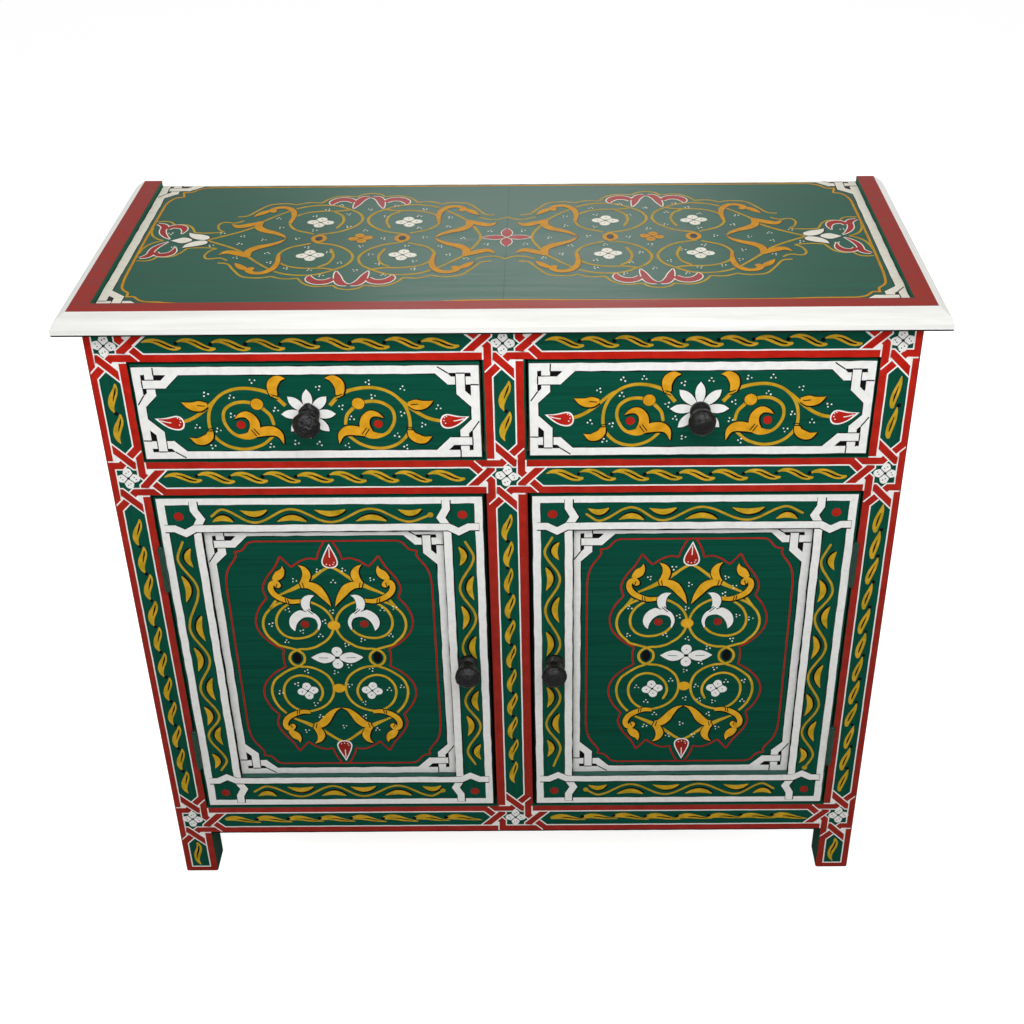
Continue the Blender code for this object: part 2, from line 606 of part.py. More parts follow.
# Doors, each built about its hinge axis, with side = 1 where the door runs to +X from it
def make_door(name, case, side, post):
    axis_x = -side * (POST_IN - HINGE_GAP / 2)
    axis = place_empty(name + "_axis", case, (axis_x, -HINGE_PROUD, 0))
    face = HINGE_PROUD
    rear = face + DOOR_THICKNESS
    low = BOTTOM_RAIL_HIGH + DOOR_GAP
    high = MIDDLE_RAIL_LOW - DOOR_GAP
    hinge_edge = HINGE_GAP / 2
    free_edge = hinge_edge + OPENING_WIDTH - HINGE_GAP - DOOR_GAP
    hinge_inner = hinge_edge + DOOR_MEMBER
    free_inner = free_edge - DOOR_MEMBER
    panel_front = face + PANEL_RECESS
    panel_rear = panel_front + DOOR_PANEL
    groove_front = panel_front - SEAT
    groove_rear = panel_rear + SEAT
    groove_depth = PANEL_TONGUE + SEAT
    mortise_depth = DOOR_TENON + SEAT

    stiles = {}
    for stile_name, outer, inner in (("hinge", hinge_edge, hinge_inner), ("knob", free_edge, free_inner)):
        way = 1 if inner > outer else -1
        corner = (side * outer, face, low)
        far = (side * inner, rear, high)
        stile = board(name + "_" + stile_name + "_stile", axis, corner, far, GREEN_PAINT, 2)
        beyond = side * (inner + way * DOOR_MEMBER)
        groove = (
            (side * (inner - way * groove_depth), groove_front, low - DOOR_MEMBER),
            (beyond, groove_rear, high + DOOR_MEMBER),
        )
        cut(stile, box_tool(stile.name + "_groove", axis, [groove]))
        deep = side * (inner - way * mortise_depth)
        lower_top = low + DOOR_MEMBER + SEAT
        upper_low = high - DOOR_MEMBER - SEAT
        mortises = [
            ((deep, groove_front, low + DOOR_HAUNCH - SEAT), (beyond, groove_rear, lower_top)),
            ((deep, groove_front, upper_low), (beyond, groove_rear, high - DOOR_HAUNCH + SEAT)),
        ]
        cut(stile, box_tool(stile.name + "_mortises", axis, mortises))
        stiles[stile_name] = stile

    rail_start = hinge_inner + SEAT
    rail_end = free_inner - SEAT
    ends = ((rail_start, -1), (rail_end, 1))
    for rail_name, rail_low, rail_high, inward in (
        ("bottom", low, low + DOOR_MEMBER, 1),
        ("top", high - DOOR_MEMBER, high, -1),
    ):
        corner = (side * rail_start, face, rail_low)
        far = (side * rail_end, rear, rail_high)
        rail = board(name + "_" + rail_name + "_rail", axis, corner, far, GREEN_PAINT, 0)
        haunches = []
        tenons = []
        for end, way in ends:
            root = side * (end - way * DOOR_HAUNCH)
            shoulder = side * (end + way * PANEL_TONGUE)
            haunches.append(((root, panel_front, rail_low), (shoulder, panel_rear, rail_high)))
            tenon_low = rail_low + (DOOR_HAUNCH if inward > 0 else 0)
            tenon_high = rail_high - (DOOR_HAUNCH if inward < 0 else 0)
            tip = side * (end + way * DOOR_TENON)
            tenons.append(((root, panel_front, tenon_low), (tip, panel_rear, tenon_high)))
        join(rail, box_tool(rail.name + "_haunches", axis, haunches))
        join(rail, box_tool(rail.name + "_tenons", axis, tenons))
        inner_edge = rail_high if inward > 0 else rail_low
        groove = (
            (side * (rail_start - DOOR_MEMBER), groove_front, inner_edge - inward * groove_depth),
            (side * (rail_end + DOOR_MEMBER), groove_rear, inner_edge + inward * DOOR_MEMBER),
        )
        cut(rail, box_tool(rail.name + "_groove", axis, [groove]))

    panel_near = (side * (hinge_inner - PANEL_TONGUE), panel_front, low + DOOR_MEMBER - PANEL_TONGUE)
    panel_far = (side * (free_inner + PANEL_TONGUE), panel_rear, high - DOOR_MEMBER + PANEL_TONGUE)
    board(name + "_panel", axis, panel_near, panel_far, GREEN_PAINT)

    knob_across = (free_edge + free_inner) / 2 - DOOR_KNOB_SHIFT
    knob_place = (side * knob_across, face, (low + high) / 2 - DOOR_KNOB_DROP)
    make_knob(name + "_knob", axis, knob_place, DOOR_KNOB_REACH, stiles["knob"], DOOR_THICKNESS)
    for hinge_name, height in (("lower", low + HINGE_INSET), ("upper", high - HINGE_INSET)):
        make_hinge(name + "_" + hinge_name + "_hinge", axis, side, height, post, stiles["hinge"])


# Butt hinge: two leaves with interleaved knuckles on a headed pin
def knuckle_spans(first):
    """Low and high ends of every second knuckle, starting with the given one."""
    pitch = HINGE_LENGTH / KNUCKLE_COUNT
    spans = []
    for index in range(first, KNUCKLE_COUNT, 2):
        low = index * pitch - HINGE_LENGTH / 2
        high = low + pitch
        if index > 0:
            low += KNUCKLE_GAP / 2
        if index < KNUCKLE_COUNT - 1:
            high -= KNUCKLE_GAP / 2
        spans.append((low, high))
    return spans


def leaf_outline(spans):
    """A plate that reaches back from the knuckles, with a tab out to the axis at each knuckle."""
    end = HINGE_LENGTH / 2
    root = KNUCKLE_RADIUS + KNUCKLE_GAP
    outline = [(HINGE_LEAF_WIDTH, -end)]
    if spans[0][0] > -end:
        outline.append((root, -end))
    for low, high in spans:
        if low > -end:
            outline.append((root, low))
        outline += [(0.0, low), (0.0, high)]
        if high < end:
            outline.append((root, high))
    if spans[-1][1] < end:
        outline.append((root, end))
    outline.append((HINGE_LEAF_WIDTH, end))
    return outline


def make_hinge(name, axis, side, height, post, stile):
    """One hinge at a height on the door's axis, let into the post and the stile."""
    centre = place_empty(name, axis, (0, 0, height))
    bore = rod_tool(name + "_bore", centre, PIN_RADIUS + SEAT, [(-HINGE_LENGTH, HINGE_LENGTH)])
    seat_low = -HINGE_LENGTH / 2 - SEAT
    seat_high = HINGE_LENGTH / 2 + SEAT
    plate_in = LEAF_GAP / 2
    plate_out = plate_in + HINGE_LEAF
    for leaf_name, way, first, host in (("frame", -side, 0, post), ("door", side, 1, stile)):
        spans = knuckle_spans(first)
        mesh = prism_mesh(
            name + "_" + leaf_name + "_leaf",
            leaf_outline(spans),
            lambda back: way * plate_in,
            lambda back: way * plate_out,
            lambda back, up, across: (across, back, up),
        )
        leaf = finish_object(mesh.name, mesh, centre, (0, 0, 0), HINGE_STEEL)
        join(leaf, rod_tool(leaf.name + "_knuckles", centre, KNUCKLE_RADIUS, spans))
        cut(leaf, bore)
        pocket = ((0, 0, seat_low), (way * (plate_out + SEAT), HINGE_LEAF_WIDTH + SEAT, seat_high))
        cut(host, box_tool(leaf.name + "_pocket", centre, [pocket]))
    clear = [(seat_low - PIN_HEAD - KNUCKLE_GAP, seat_high + PIN_HEAD + KNUCKLE_GAP)]
    hollow = rod_tool(name + "_hollow", centre, KNUCKLE_RADIUS + KNUCKLE_GAP, clear)
    cut(post, hollow)
    cut(stile, hollow)
    top = HINGE_LENGTH / 2 + SEAT
    crown = top + PIN_HEAD
    half = [(0.0, crown), (PIN_CROWN_RADIUS, crown), (PIN_HEAD_RADIUS, top + PIN_HEAD / 2)]
    half += [(PIN_HEAD_RADIUS, top), (PIN_RADIUS, top)]
    profile = half + [(radius, -up) for radius, up in reversed(half)]
    turned_part(name + "_pin", centre, (0, 0, 0), (0, 0, 0), profile, ROUND_SEGMENTS, HINGE_STEEL)


def make_dresser():
    case = place_empty("dresser", None, (0, FACE_Y, 0))
    make_top(case)
    posts = make_posts(case)
    cut_posts(case, posts)
    make_frame(case)
    make_panels(case)
    make_runners(case)
    make_drawer("left_drawer", case, -OPENING_CENTRE)
    make_drawer("right_drawer", case, OPENING_CENTRE)
    make_door("left_door", case, 1, posts["front", "left"])
    make_door("right_door", case, -1, posts["front", "right"])
    bpy.context.view_layer.update()


make_dresser()
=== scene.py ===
"""Dressing for the painted dresser: brushwork, finishes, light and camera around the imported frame."""
import math
import random
import bpy
from mathutils import Matrix, Vector


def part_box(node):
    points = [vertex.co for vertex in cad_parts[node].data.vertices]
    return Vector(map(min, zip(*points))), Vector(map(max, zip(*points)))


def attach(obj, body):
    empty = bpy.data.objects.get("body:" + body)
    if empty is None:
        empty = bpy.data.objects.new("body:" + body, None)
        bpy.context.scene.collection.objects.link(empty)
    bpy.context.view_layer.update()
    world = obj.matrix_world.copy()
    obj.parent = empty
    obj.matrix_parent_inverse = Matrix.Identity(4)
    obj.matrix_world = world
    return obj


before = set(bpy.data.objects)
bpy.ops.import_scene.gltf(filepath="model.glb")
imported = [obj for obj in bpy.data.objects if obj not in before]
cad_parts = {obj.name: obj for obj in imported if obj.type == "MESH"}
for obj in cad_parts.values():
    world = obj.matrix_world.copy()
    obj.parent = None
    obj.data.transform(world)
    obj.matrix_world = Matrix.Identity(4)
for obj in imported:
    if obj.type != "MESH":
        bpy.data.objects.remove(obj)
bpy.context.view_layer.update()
hand = random.Random(11)

# Units: the brushwork is laid out in millimetres, x from the dresser's middle and z from the floor
MM = 0.001


def edges(node, axis):
    """Lowest and highest place of a CAD node along one axis, in millimetres."""
    low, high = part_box(node)
    return low[axis] / MM, high[axis] / MM


def middle(node, axis):
    low, high = edges(node, axis)
    return (low + high) / 2


# Places taken from the frame
X, Y, Z = 0, 1, 2
FACE_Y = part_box("post_front_left")[0][Y]
PANEL_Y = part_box("left_door_panel")[0][Y]
TOP_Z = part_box("top_panel")[1][Z]
RIM_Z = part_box("top_moulding_front")[1][Z]
POST_X = middle("post_front_right", X)
TOP_RAIL_LOW, TOP_RAIL_HIGH = edges("rail_top_front", Z)
MIDDLE_RAIL_Z = middle("rail_middle_front", Z)
BOTTOM_RAIL_Z = middle("rail_bottom_front", Z)

# Brush sizes of the frame's red bands and white lines
BAND = 8.8
BAND_OFFSET = 18.0
LINE = 1.7
LINE_OFFSET = BAND_OFFSET - (BAND + LINE) / 2
OVER_REACH = 46.4      # where the upper strand leaves its band, from a crossing's middle
UNDER_REACH = 41.7     # where the lower strand joins its band
BAND_STOP = 24.3       # where a band stops short of a crossing

# Paint is laid in thin coats over each other
COAT = 0.00003
FIRST_COAT = 0.00005
PAINT_BODY = 0.0004
BRUSH_STEP = 2.2       # spacing of points along a stroke
HAND_STEP = 13.0       # how far a straight band runs before the hand corrects it
SHADE = 0.45           # how far a dark outline lies to the right of and below its leaf
BOARD_EASE = 0.9       # how far paint stops from the eased edges of a drawer or door


# Brushes

def flat(point):
    return point


def place(x, z, turn=0.0, scale=1.0, lean=0.0):
    """A place on a board: a turned, scaled and sheared drawing frame around (x, z)."""
    cosine = math.cos(turn) * scale
    sine = math.sin(turn) * scale

    def spot(point):
        u, v = point
        return x + u * cosine - v * sine + lean * v, z + u * sine + v * cosine
    return spot


def mirrored(spot):
    return lambda point: spot((-point[0], point[1]))


def upturned(spot):
    return lambda point: spot((point[0], -point[1]))


def swapped(spot):
    return lambda point: spot((point[1], point[0]))


def quarter_turned(spot, quarter):
    """The frame turned clockwise by quarters about its own middle."""
    def turned(point):
        u, v = point
        for _ in range(quarter):
            u, v = v, -u
        return spot((u, v))
    return turned


def open_board(name, body, plane, trim, lies_flat=False):
    """A surface to paint on: the strokes of each colour become one piece that rides on the body.

    trim holds the lowest and highest u and v that are painted, inside the board's eased edges.
    """
    return {"name": name, "body": body, "plane": plane, "trim": trim, "lies_flat": lies_flat, "strokes": {}}


def front_trim(left, right, low, high):
    return left + BOARD_EASE, right - BOARD_EASE, low + BOARD_EASE, high - BOARD_EASE


def slope(before, here, after, gap_before, gap_after):
    return [(h - b) / gap_before - (a - b) / (gap_before + gap_after) + (a - h) / gap_after
            for b, h, a in zip(before, here, after)]


def gap(a, b):
    return max(math.dist(a[:2], b[:2]), 1e-6) ** 0.5


def flow(points, closed):
    """Points along a smooth stroke through (u, v, width) control points."""
    count = len(points)
    if count < 3:
        return list(points)
    first = tuple(2 * p - q for p, q in zip(points[0], points[1]))
    last = tuple(2 * p - q for p, q in zip(points[-1], points[-2]))
    line = []
    for index in range(count if closed else count - 1):
        here = points[index]
        after = points[(index + 1) % count]
        before = points[index - 1] if closed or index else first
        beyond = points[(index + 2) % count] if closed or index + 2 < count else last
        gaps = gap(before, here), gap(here, after), gap(after, beyond)
        leave = slope(before, here, after, gaps[0], gaps[1])
        arrive = slope(here, after, beyond, gaps[1], gaps[2])
        steps = max(3, math.ceil(math.dist(here[:2], after[:2]) / BRUSH_STEP))
        for step in range(steps):
            t = step / steps
            a = (1 + 2 * t) * (1 - t) ** 2
            b = t * (1 - t) ** 2 * gaps[1]
            c = t * t * (3 - 2 * t)
            d = t * t * (t - 1) * gaps[1]
            line.append([a * h + b * l + c * n + d * r
                         for h, l, n, r in zip(here, leave, after, arrive)])
    if not closed:
        line.append(list(points[-1]))
    return line


def round_off(line):
    """Adds a round end after a stroke's last point."""
    (u0, v0, _), (u1, v1, width) = line[-2], line[-1]
    length = math.hypot(u1 - u0, v1 - v0)
    along = (u1 - u0) / length, (v1 - v0) / length
    for degrees in (35, 60, 80, 90):
        angle = math.radians(degrees)
        reach = width / 2 * math.sin(angle)
        line.append([u1 + along[0] * reach, v1 + along[1] * reach, width * math.cos(angle)])


def add_stroke(board, colour, line, level, closed):
    board["strokes"].setdefault(colour, []).append((line, level, closed))


def stroke(board, colour, points, level, spot=flat, closed=False, round_end=False, round_start=False):
    """A smooth brush stroke through (u, v, width) points."""
    line = flow(points, closed)
    if round_end:
        round_off(line)
    if round_start:
        line.reverse()
        round_off(line)
    add_stroke(board, colour, [(*spot((u, v)), max(w, 0.0)) for u, v, w in line], level, closed)


def band(board, colour, points, width, level, spot=flat, closed=False, steady=False):
    """A band with mitred corners; unless steady, its long sides wander a little as drawn by hand."""
    places = [Vector(spot(point)) for point in points]
    count = len(places)
    sway = min(0.35, 0.1 + 0.03 * width)
    line = []
    for index, here in enumerate(places):
        after = places[(index + 1) % count]
        mitre = 1.0
        if closed or 0 < index < count - 1:
            corner = (places[index - 1] - here).angle(after - here)
            mitre = 1 / max(math.sin(corner / 2), 0.3)
        line.append((*here, width * mitre))
        if steady or index == count - 1 and not closed:
            continue
        steps = int((after - here).length / HAND_STEP)
        across = (after - here).orthogonal().normalized()
        for step in range(1, steps):
            point = here.lerp(after, step / steps) + across * hand.uniform(-sway, sway)
            line.append((*point, width * hand.uniform(0.97, 1.03)))
    add_stroke(board, colour, line, level, closed)


def dot(board, colour, point, radius, level, spot=flat, tall=1.0, steps=8):
    """A round or oval dab."""
    u, v = point
    line = []
    for step in range(steps + 1):
        angle = math.pi * (step / steps - 0.5)
        line.append((*spot((u + radius * math.sin(angle), v)), 2 * radius * tall * math.cos(angle)))
    add_stroke(board, colour, line, level, False)


def arc(middle_point, radii, start, stop, width, count=12):
    """Control points along part of an ellipse, angles in degrees."""
    points = []
    for step in range(count + 1):
        angle = math.radians(start + (stop - start) * step / count)
        points.append((middle_point[0] + radii[0] * math.cos(angle),
                       middle_point[1] + radii[1] * math.sin(angle), width))
    return points


def fattened(points, extra):
    return [(u, v, width + extra) for u, v, width in points]


def shaded(spot):
    """The place a little right of and below a stroke, where its dark edge shows most."""
    def shifted(point):
        x, z = spot(point)
        return x + SHADE, z - SHADE
    return shifted


def leaf(board, points, spot, level=4, colour="ochre", outline=3.3, round_end=False):
    """A brushed leaf with a black outline under it."""
    stroke(board, "black", fattened(points, outline), level - 1, shaded(spot), round_end=round_end)
    stroke(board, colour, points, level, spot, round_end=round_end)


def red_leaf(board, points, spot, edge=2.8):
    """A red leaf of the top with a white edge."""
    stroke(board, "white", fattened(points, edge), 3, spot)
    stroke(board, "red", points, 4, spot)


def thin_line(board, points, width, level, spot, colour="black"):
    stroke(board, colour, [(u, v, width) for u, v in points], level, spot)


DOT_TRIO = ((-0.4, 2.4), (-2.6, -1.3), (2.3, -1.6))


def three_dots(board, places, spot, size=0.98):
    """Clusters of three white dabs, each turned a little differently by hand."""
    for u, v in places:
        turn = hand.uniform(-0.9, 0.9)
        for du, dv in DOT_TRIO:
            u_dab = u + du * math.cos(turn) - dv * math.sin(turn) + hand.uniform(-0.4, 0.4)
            v_dab = v + du * math.sin(turn) + dv * math.cos(turn) + hand.uniform(-0.4, 0.4)
            dot(board, "white", (u_dab, v_dab), size * hand.uniform(0.8, 1.15), 6, spot, steps=5)


def four_petals(board, point, reach, petal, spot, colour="white", level=5, cross=1.0, dots=2, turn=0.0):
    """A flower of four round petals parted by a black cross, with black dabs on the petals."""
    bloom = place(*point, turn)
    for quarter in range(4):
        petal_spot = quarter_turned(lambda p: spot(bloom(p)), quarter)
        outline = [(0, reach * 0.25, petal), (0, reach * 0.9, petal * 2), (0, reach * 1.25, petal * 1.8)]
        stroke(board, colour, outline, level, petal_spot, round_end=True)
        tip = (reach + petal) * 0.62
        thin_line(board, [(0, 0), (tip, tip)], cross, level + 1, petal_spot)
        for index in range(dots):
            offset = (index - (dots - 1) / 2) * petal * 0.55
            dab = (offset, reach * 1.15 + offset * 0.6)
            dot(board, "black", dab, petal * 0.14, level + 1, petal_spot, steps=4)


# The frame: red bands that weave through each other where rails and posts cross

UP, RIGHT, DOWN, LEFT = range(4)
OVER = OVER_REACH - BAND_OFFSET
UNDER = UNDER_REACH - BAND_OFFSET
BAND_IN = BAND_OFFSET - BAND / 2
BAND_OUT = BAND_OFFSET + BAND / 2
EDGE_OVER = OVER + (BAND + LINE) / 2 * math.sqrt(2)
EDGE_UNDER = UNDER + (BAND + LINE) / 2 * math.sqrt(2)
POINT_U = (EDGE_OVER - EDGE_UNDER) / 2
POINT_V = (EDGE_OVER + EDGE_UNDER) / 2
UNDER_BEND = UNDER - BAND_OFFSET
LINE_BEND = UNDER - (BAND + LINE) / 2 * math.sqrt(2) - LINE_OFFSET
UNDER_END = (OVER + UNDER) / 2, (UNDER - OVER) / 2
WOVEN = BAND + 2 * LINE


def weave_strands(board, spot, arms):
    """The strands of one crossing, woven over and under round its star."""
    for quarter in arms:
        arm = quarter_turned(spot, quarter)
        over = [(-17.0, OVER + 17.0), (OVER - BAND_OFFSET, BAND_OFFSET), (BAND_IN - LINE, BAND_OFFSET)]
        band(board, "white", over, WOVEN, 2.6, arm)
        band(board, "red", over, BAND, 3, arm)
        u, v = -BAND_IN, BAND_OUT
        side = OVER - BAND_OUT + BAND_IN
        stroke(board, "white", [(u, v, 0), (u + side / 2, v + side / 2, side * 1.4)], 0, arm)
        stroke(board, "white", [(8, 25.5, 0), (BAND_IN, 26.5, 10)], 0, arm)
        strand = [(BAND_OFFSET, UNDER_REACH + 1)]
        seam = [(LINE_OFFSET, 31.5)]
        here = quarter
        while (here + 1) % 4 not in arms:
            strand.append(quarter_turned(flat, here - quarter)((BAND_OFFSET, -BAND_OFFSET)))
            seam.append(quarter_turned(flat, here - quarter)((LINE_OFFSET, -LINE_OFFSET)))
            here += 1
        home = quarter_turned(flat, here - quarter)
        strand += [home((BAND_OFFSET, UNDER_BEND)), home(UNDER_END)]
        seam += [home((LINE_OFFSET, LINE_BEND)), home((UNDER_END[0] - 3.7, UNDER_END[1] - 3.7))]
        band(board, "red", strand, BAND, 1, arm)
        band(board, "white", seam, LINE, 1, arm)


def band_end(board, arm, length, red, side=1):
    """Where a straight band stops at a crossing, with a white line round its end."""
    def end(u, v):
        return side * u, length - v
    band(board, red, [end(BAND_OFFSET, 62), end(BAND_OFFSET, BAND_STOP)], BAND, 4, arm)
    stop_line = BAND_STOP - LINE / 2
    band(board, "white", [end(BAND_IN - LINE, stop_line), end(BAND_OUT, stop_line)], LINE, 4, arm)
    band(board, "white", [end(LINE_OFFSET, BAND_STOP - LINE), end(LINE_OFFSET, EDGE_OVER + LINE_OFFSET)],
         LINE, 4, arm)


def rising_strand(board, arm, stop, red="red"):
    """The strand that comes up from under a crossing and runs on as a straight band."""
    low = (OVER - UNDER) / 2, (OVER + UNDER) / 2
    bend = BAND_OFFSET, UNDER_REACH
    band(board, "white", [low, bend], WOVEN, 1.6, arm)
    band(board, red, [low, bend, (BAND_OFFSET, stop)], BAND, 2, arm)


def linked_bands(board, spot, quarter, length, red="red"):
    """Both bands and the pointed white frame between two crossings."""
    near = quarter_turned(spot, quarter)
    far = lambda point: near((-point[0], length - point[1]))
    for arm in (near, far):
        rising_strand(board, arm, length - BAND_STOP, red)
        band_end(board, arm, length, red)
    half = [(POINT_U, POINT_V), (LINE_OFFSET, EDGE_UNDER + LINE_OFFSET),
            (LINE_OFFSET, length - EDGE_OVER - LINE_OFFSET)]
    other = [(-u, length - v) for u, v in half]
    band(board, "white", half + other, LINE, 3.5, near, closed=True)


FOOT_BAND = 8.2


def leg_bands(board, spot, length):
    """The bands of a leg, which close round its foot."""
    arm = quarter_turned(spot, DOWN)
    sole = length - 0.4
    rising_strand(board, arm, sole)
    band(board, "red", [(-BAND_OFFSET, BAND_STOP), (-BAND_OFFSET, sole)], BAND, 4, arm)
    stop_line = BAND_STOP - LINE / 2
    band(board, "white", [(-BAND_IN + LINE, stop_line), (-BAND_OUT, stop_line)], LINE, 4, arm)
    foot = sole - FOOT_BAND
    foot_line = sole - FOOT_BAND / 2
    band(board, "red", [(-BAND_OUT, foot_line), (BAND_OUT, foot_line)], FOOT_BAND, 4, arm)
    outline = [(POINT_U, POINT_V), (LINE_OFFSET, EDGE_UNDER + LINE_OFFSET), (LINE_OFFSET, foot),
               (-LINE_OFFSET, foot), (-LINE_OFFSET, BAND_STOP), (-LINE_OFFSET, EDGE_OVER + LINE_OFFSET)]
    band(board, "white", outline[:4] + outline[5:], LINE, 4.5, arm, closed=True)
    band(board, "white", [outline[4], outline[5]], LINE, 4.5, arm)


# A leaf of a chain, its black vein and the black dab after it: on the upper rails, on the lowest rail,
# on the left and middle posts, and on the right post
CHAIN_SHAPE = (
    [(-21.5, 2.6, 1.2), (-16.4, 4.5, 3.9), (-10.2, 4.8, 6), (-4, 3, 7.8), (2.4, -0.2, 8.3), (8.6, -3.5, 7.2),
     (14.4, -4.8, 5.4), (18.6, -4.2, 3.4)],
    [(-8.5, 4.2, 0.7), (-3, 2.8, 1.7), (3, -0.4, 2.4), (8, -3, 2.4), (13.9, -4.5, 1.3)],
    (14.8, 1.5))
LOW_CHAIN_SHAPE = (
    [(-17.5, 0.6, 6.4), (-11.4, 1.8, 9), (-4.3, 1.4, 9), (5, -0.9, 6.8), (12.9, -2.6, 3.6), (21.4, -3.6, 1)],
    [(-7, 0.6, 0.8), (0, 0.2, 1.9), (8, -1.4, 1.7), (16, -2.9, 0.6)],
    (17.4, 1.4))
POST_CHAIN_SHAPE = (
    [(-18.6, 0.5, 0.8), (-13.4, 2.8, 4.8), (-7.5, 3.2, 7.6), (0, 1.2, 8.8), (6.2, -1.7, 8), (12, -3.5, 5.6),
     (16.6, -3.8, 2.4)],
    [(-3.5, 0.9, 0.8), (2, -0.7, 1.7), (7, -2.4, 2.1), (12.4, -3.6, 1)],
    (18.4, 0.2))
RIGHT_POST_CHAIN_SHAPE = (
    [(-19.5, 3.8, 1.2), (-13.5, 2.9, 4.6), (-7, 1.3, 7.2), (0, -0.9, 8.6), (7, -2.7, 8.4), (13, -3.6, 6.8),
     (16.6, -3.5, 5)],
    [(-8, 1.5, 0.8), (-2, -0.2, 1.7), (5, -2, 2.1), (10.5, -3.1, 1)],
    (15.4, 3.8))
CHAIN_LENGTH = 37.5
CHAIN_DAB = 2.3


def chain_leaf(board, spot, shape, fat=1.0):
    outline, vein, _ = shape
    points = [(u, v, width * fat) for u, v, width in outline]
    stroke(board, "ochre", points, 4, spot, round_end=True, round_start=True)
    stroke(board, "black", vein, 5, spot)


def leaf_chain(board, start, stop, count, turn, fat=1.0, shape=CHAIN_SHAPE):
    """A row of S-shaped leaves from start to stop, with a black dab at each joint."""
    pitch = math.dist(start, stop) / count
    for index in range(count):
        share = (index + 0.5) / count
        sway = hand.uniform(-0.8, 0.8)
        x = start[0] + (stop[0] - start[0]) * share - sway * math.sin(turn)
        z = start[1] + (stop[1] - start[1]) * share + sway * math.cos(turn)
        straight = place(x, z, turn + hand.uniform(-0.06, 0.06), pitch / CHAIN_LENGTH)
        spot = lambda p, straight=straight: straight((p[0], p[1] * fat))
        chain_leaf(board, spot, shape, fat * hand.uniform(0.92, 1.08))
        if index < count - 1:
            dot(board, "black", shape[2], CHAIN_DAB * hand.uniform(0.9, 1.15), 6, spot)


POST_PLACES = -POST_X, middle("muntin_lower", X), POST_X
FRAME_REACH = edges("post_front_right", X)[1] - 2.5    # the posts' outer edges are eased by this much
TOP_LINE_Z = TOP_RAIL_LOW + BAND_OUT + 0.1
TOP_SQUEEZE = (TOP_RAIL_HIGH - TOP_LINE_Z - 0.4 - BAND / 2) / BAND_OFFSET
RAIL_CHAIN = 47.0, 51.0         # from an outer post's and from the middle post's line to a rail's chain
STILE_CHAIN = 48.0              # from a rail's line to the chain beside the drawers
POST_CHAINS = (50, 54), (65, 51), (46, 43)   # from the rails below and above to the chains beside the doors
POST_LEAVES = 11, 11, 12
BLOOM_LIFT = -2.4, 1.0, 1.8     # how far the star flowers of each row sit above its line


def under_the_top(spot):
    """Draws the upper half of the top row narrower, as the rail ends under the top."""
    return lambda point: spot((point[0], point[1] * (TOP_SQUEEZE if point[1] > 0 else 1)))


def paint_frame():
    board = open_board("frame", "case", FACE_Y, (-FRAME_REACH, FRAME_REACH, 0.8, TOP_RAIL_HIGH - 0.2))
    rows = TOP_LINE_Z, MIDDLE_RAIL_Z, BOTTOM_RAIL_Z
    for row, z in enumerate(rows):
        for column, x in enumerate(POST_PLACES):
            present = row > 0, column < 2, row < 2 or column != 1, column > 0
            arms = [quarter for quarter in (UP, RIGHT, DOWN, LEFT) if present[quarter]]
            spot = place(x, z)
            woven = under_the_top(spot) if row == 0 else spot
            weave_strands(board, woven, arms)
            if RIGHT in arms:
                reach = POST_PLACES[column + 1] - x
                # The bottom row's bands are drawn in a darker red: painted shade low on the front
                linked_bands(board, woven, RIGHT, reach, "deep_red" if row == 2 else "red")
            if row > 0:
                linked_bands(board, spot, UP, rows[row - 1] - z)
            if DOWN in arms and row == 2:
                leg_bands(board, spot, z)
            bloom = hand.uniform(-0.6, 0.6), BLOOM_LIFT[row]
            four_petals(board, bloom, 7.0, 5.7, spot, level=6, turn=hand.uniform(-0.12, 0.12))
    leaf_rows(board, rows)
    # A black line along the bottom rail's lower edge: painted shadow under the rail
    painted_shadow_z = edges("rail_bottom_front", Z)[0] + 0.9
    band(board, "black", [(BAND_OUT - POST_X, painted_shadow_z), (POST_X - BAND_OUT, painted_shadow_z)], 1.5, 4.6)
    return board


def leaf_rows(board, rows):
    """Chains of leaves along the rails, down the posts and on the feet."""
    top, middle_row, bottom = rows
    outer, inner = RAIL_CHAIN
    for side in (-1, 1):
        start, stop = sorted((side * (POST_X - outer), side * inner))
        leaf_chain(board, (start, top - 1.8), (stop, top - 1.8), 9, 0.0, 0.92)
        leaf_chain(board, (start, middle_row + 1), (stop, middle_row + 1), 9, 0.0)
        leaf_chain(board, (start, bottom + 1), (stop, bottom + 1), 8, 0.0, shape=LOW_CHAIN_SHAPE)
    beside_drawers = STILE_CHAIN, STILE_CHAIN
    for x, count, turn, beside_doors in zip(POST_PLACES, POST_LEAVES, (1, 1, -1), POST_CHAINS):
        shape = POST_CHAIN_SHAPE if turn > 0 else RIGHT_POST_CHAIN_SHAPE
        stretches = (middle_row, top, 2, beside_drawers), (bottom, middle_row, count, beside_doors)
        for low, high, leaves, margins in stretches:
            ends = [(x, low + margins[0]), (x, high - margins[1])]
            leaf_chain(board, *ends[::turn], leaves, turn * math.pi / 2, shape=shape)
    for x in (POST_PLACES[0], POST_PLACES[2]):
        chain_leaf(board, place(x - 1, 34, math.pi / 2 + 0.16), CHAIN_SHAPE, 1.1)


# White bands with woven corner knots

KNOT_BAND = 10.0


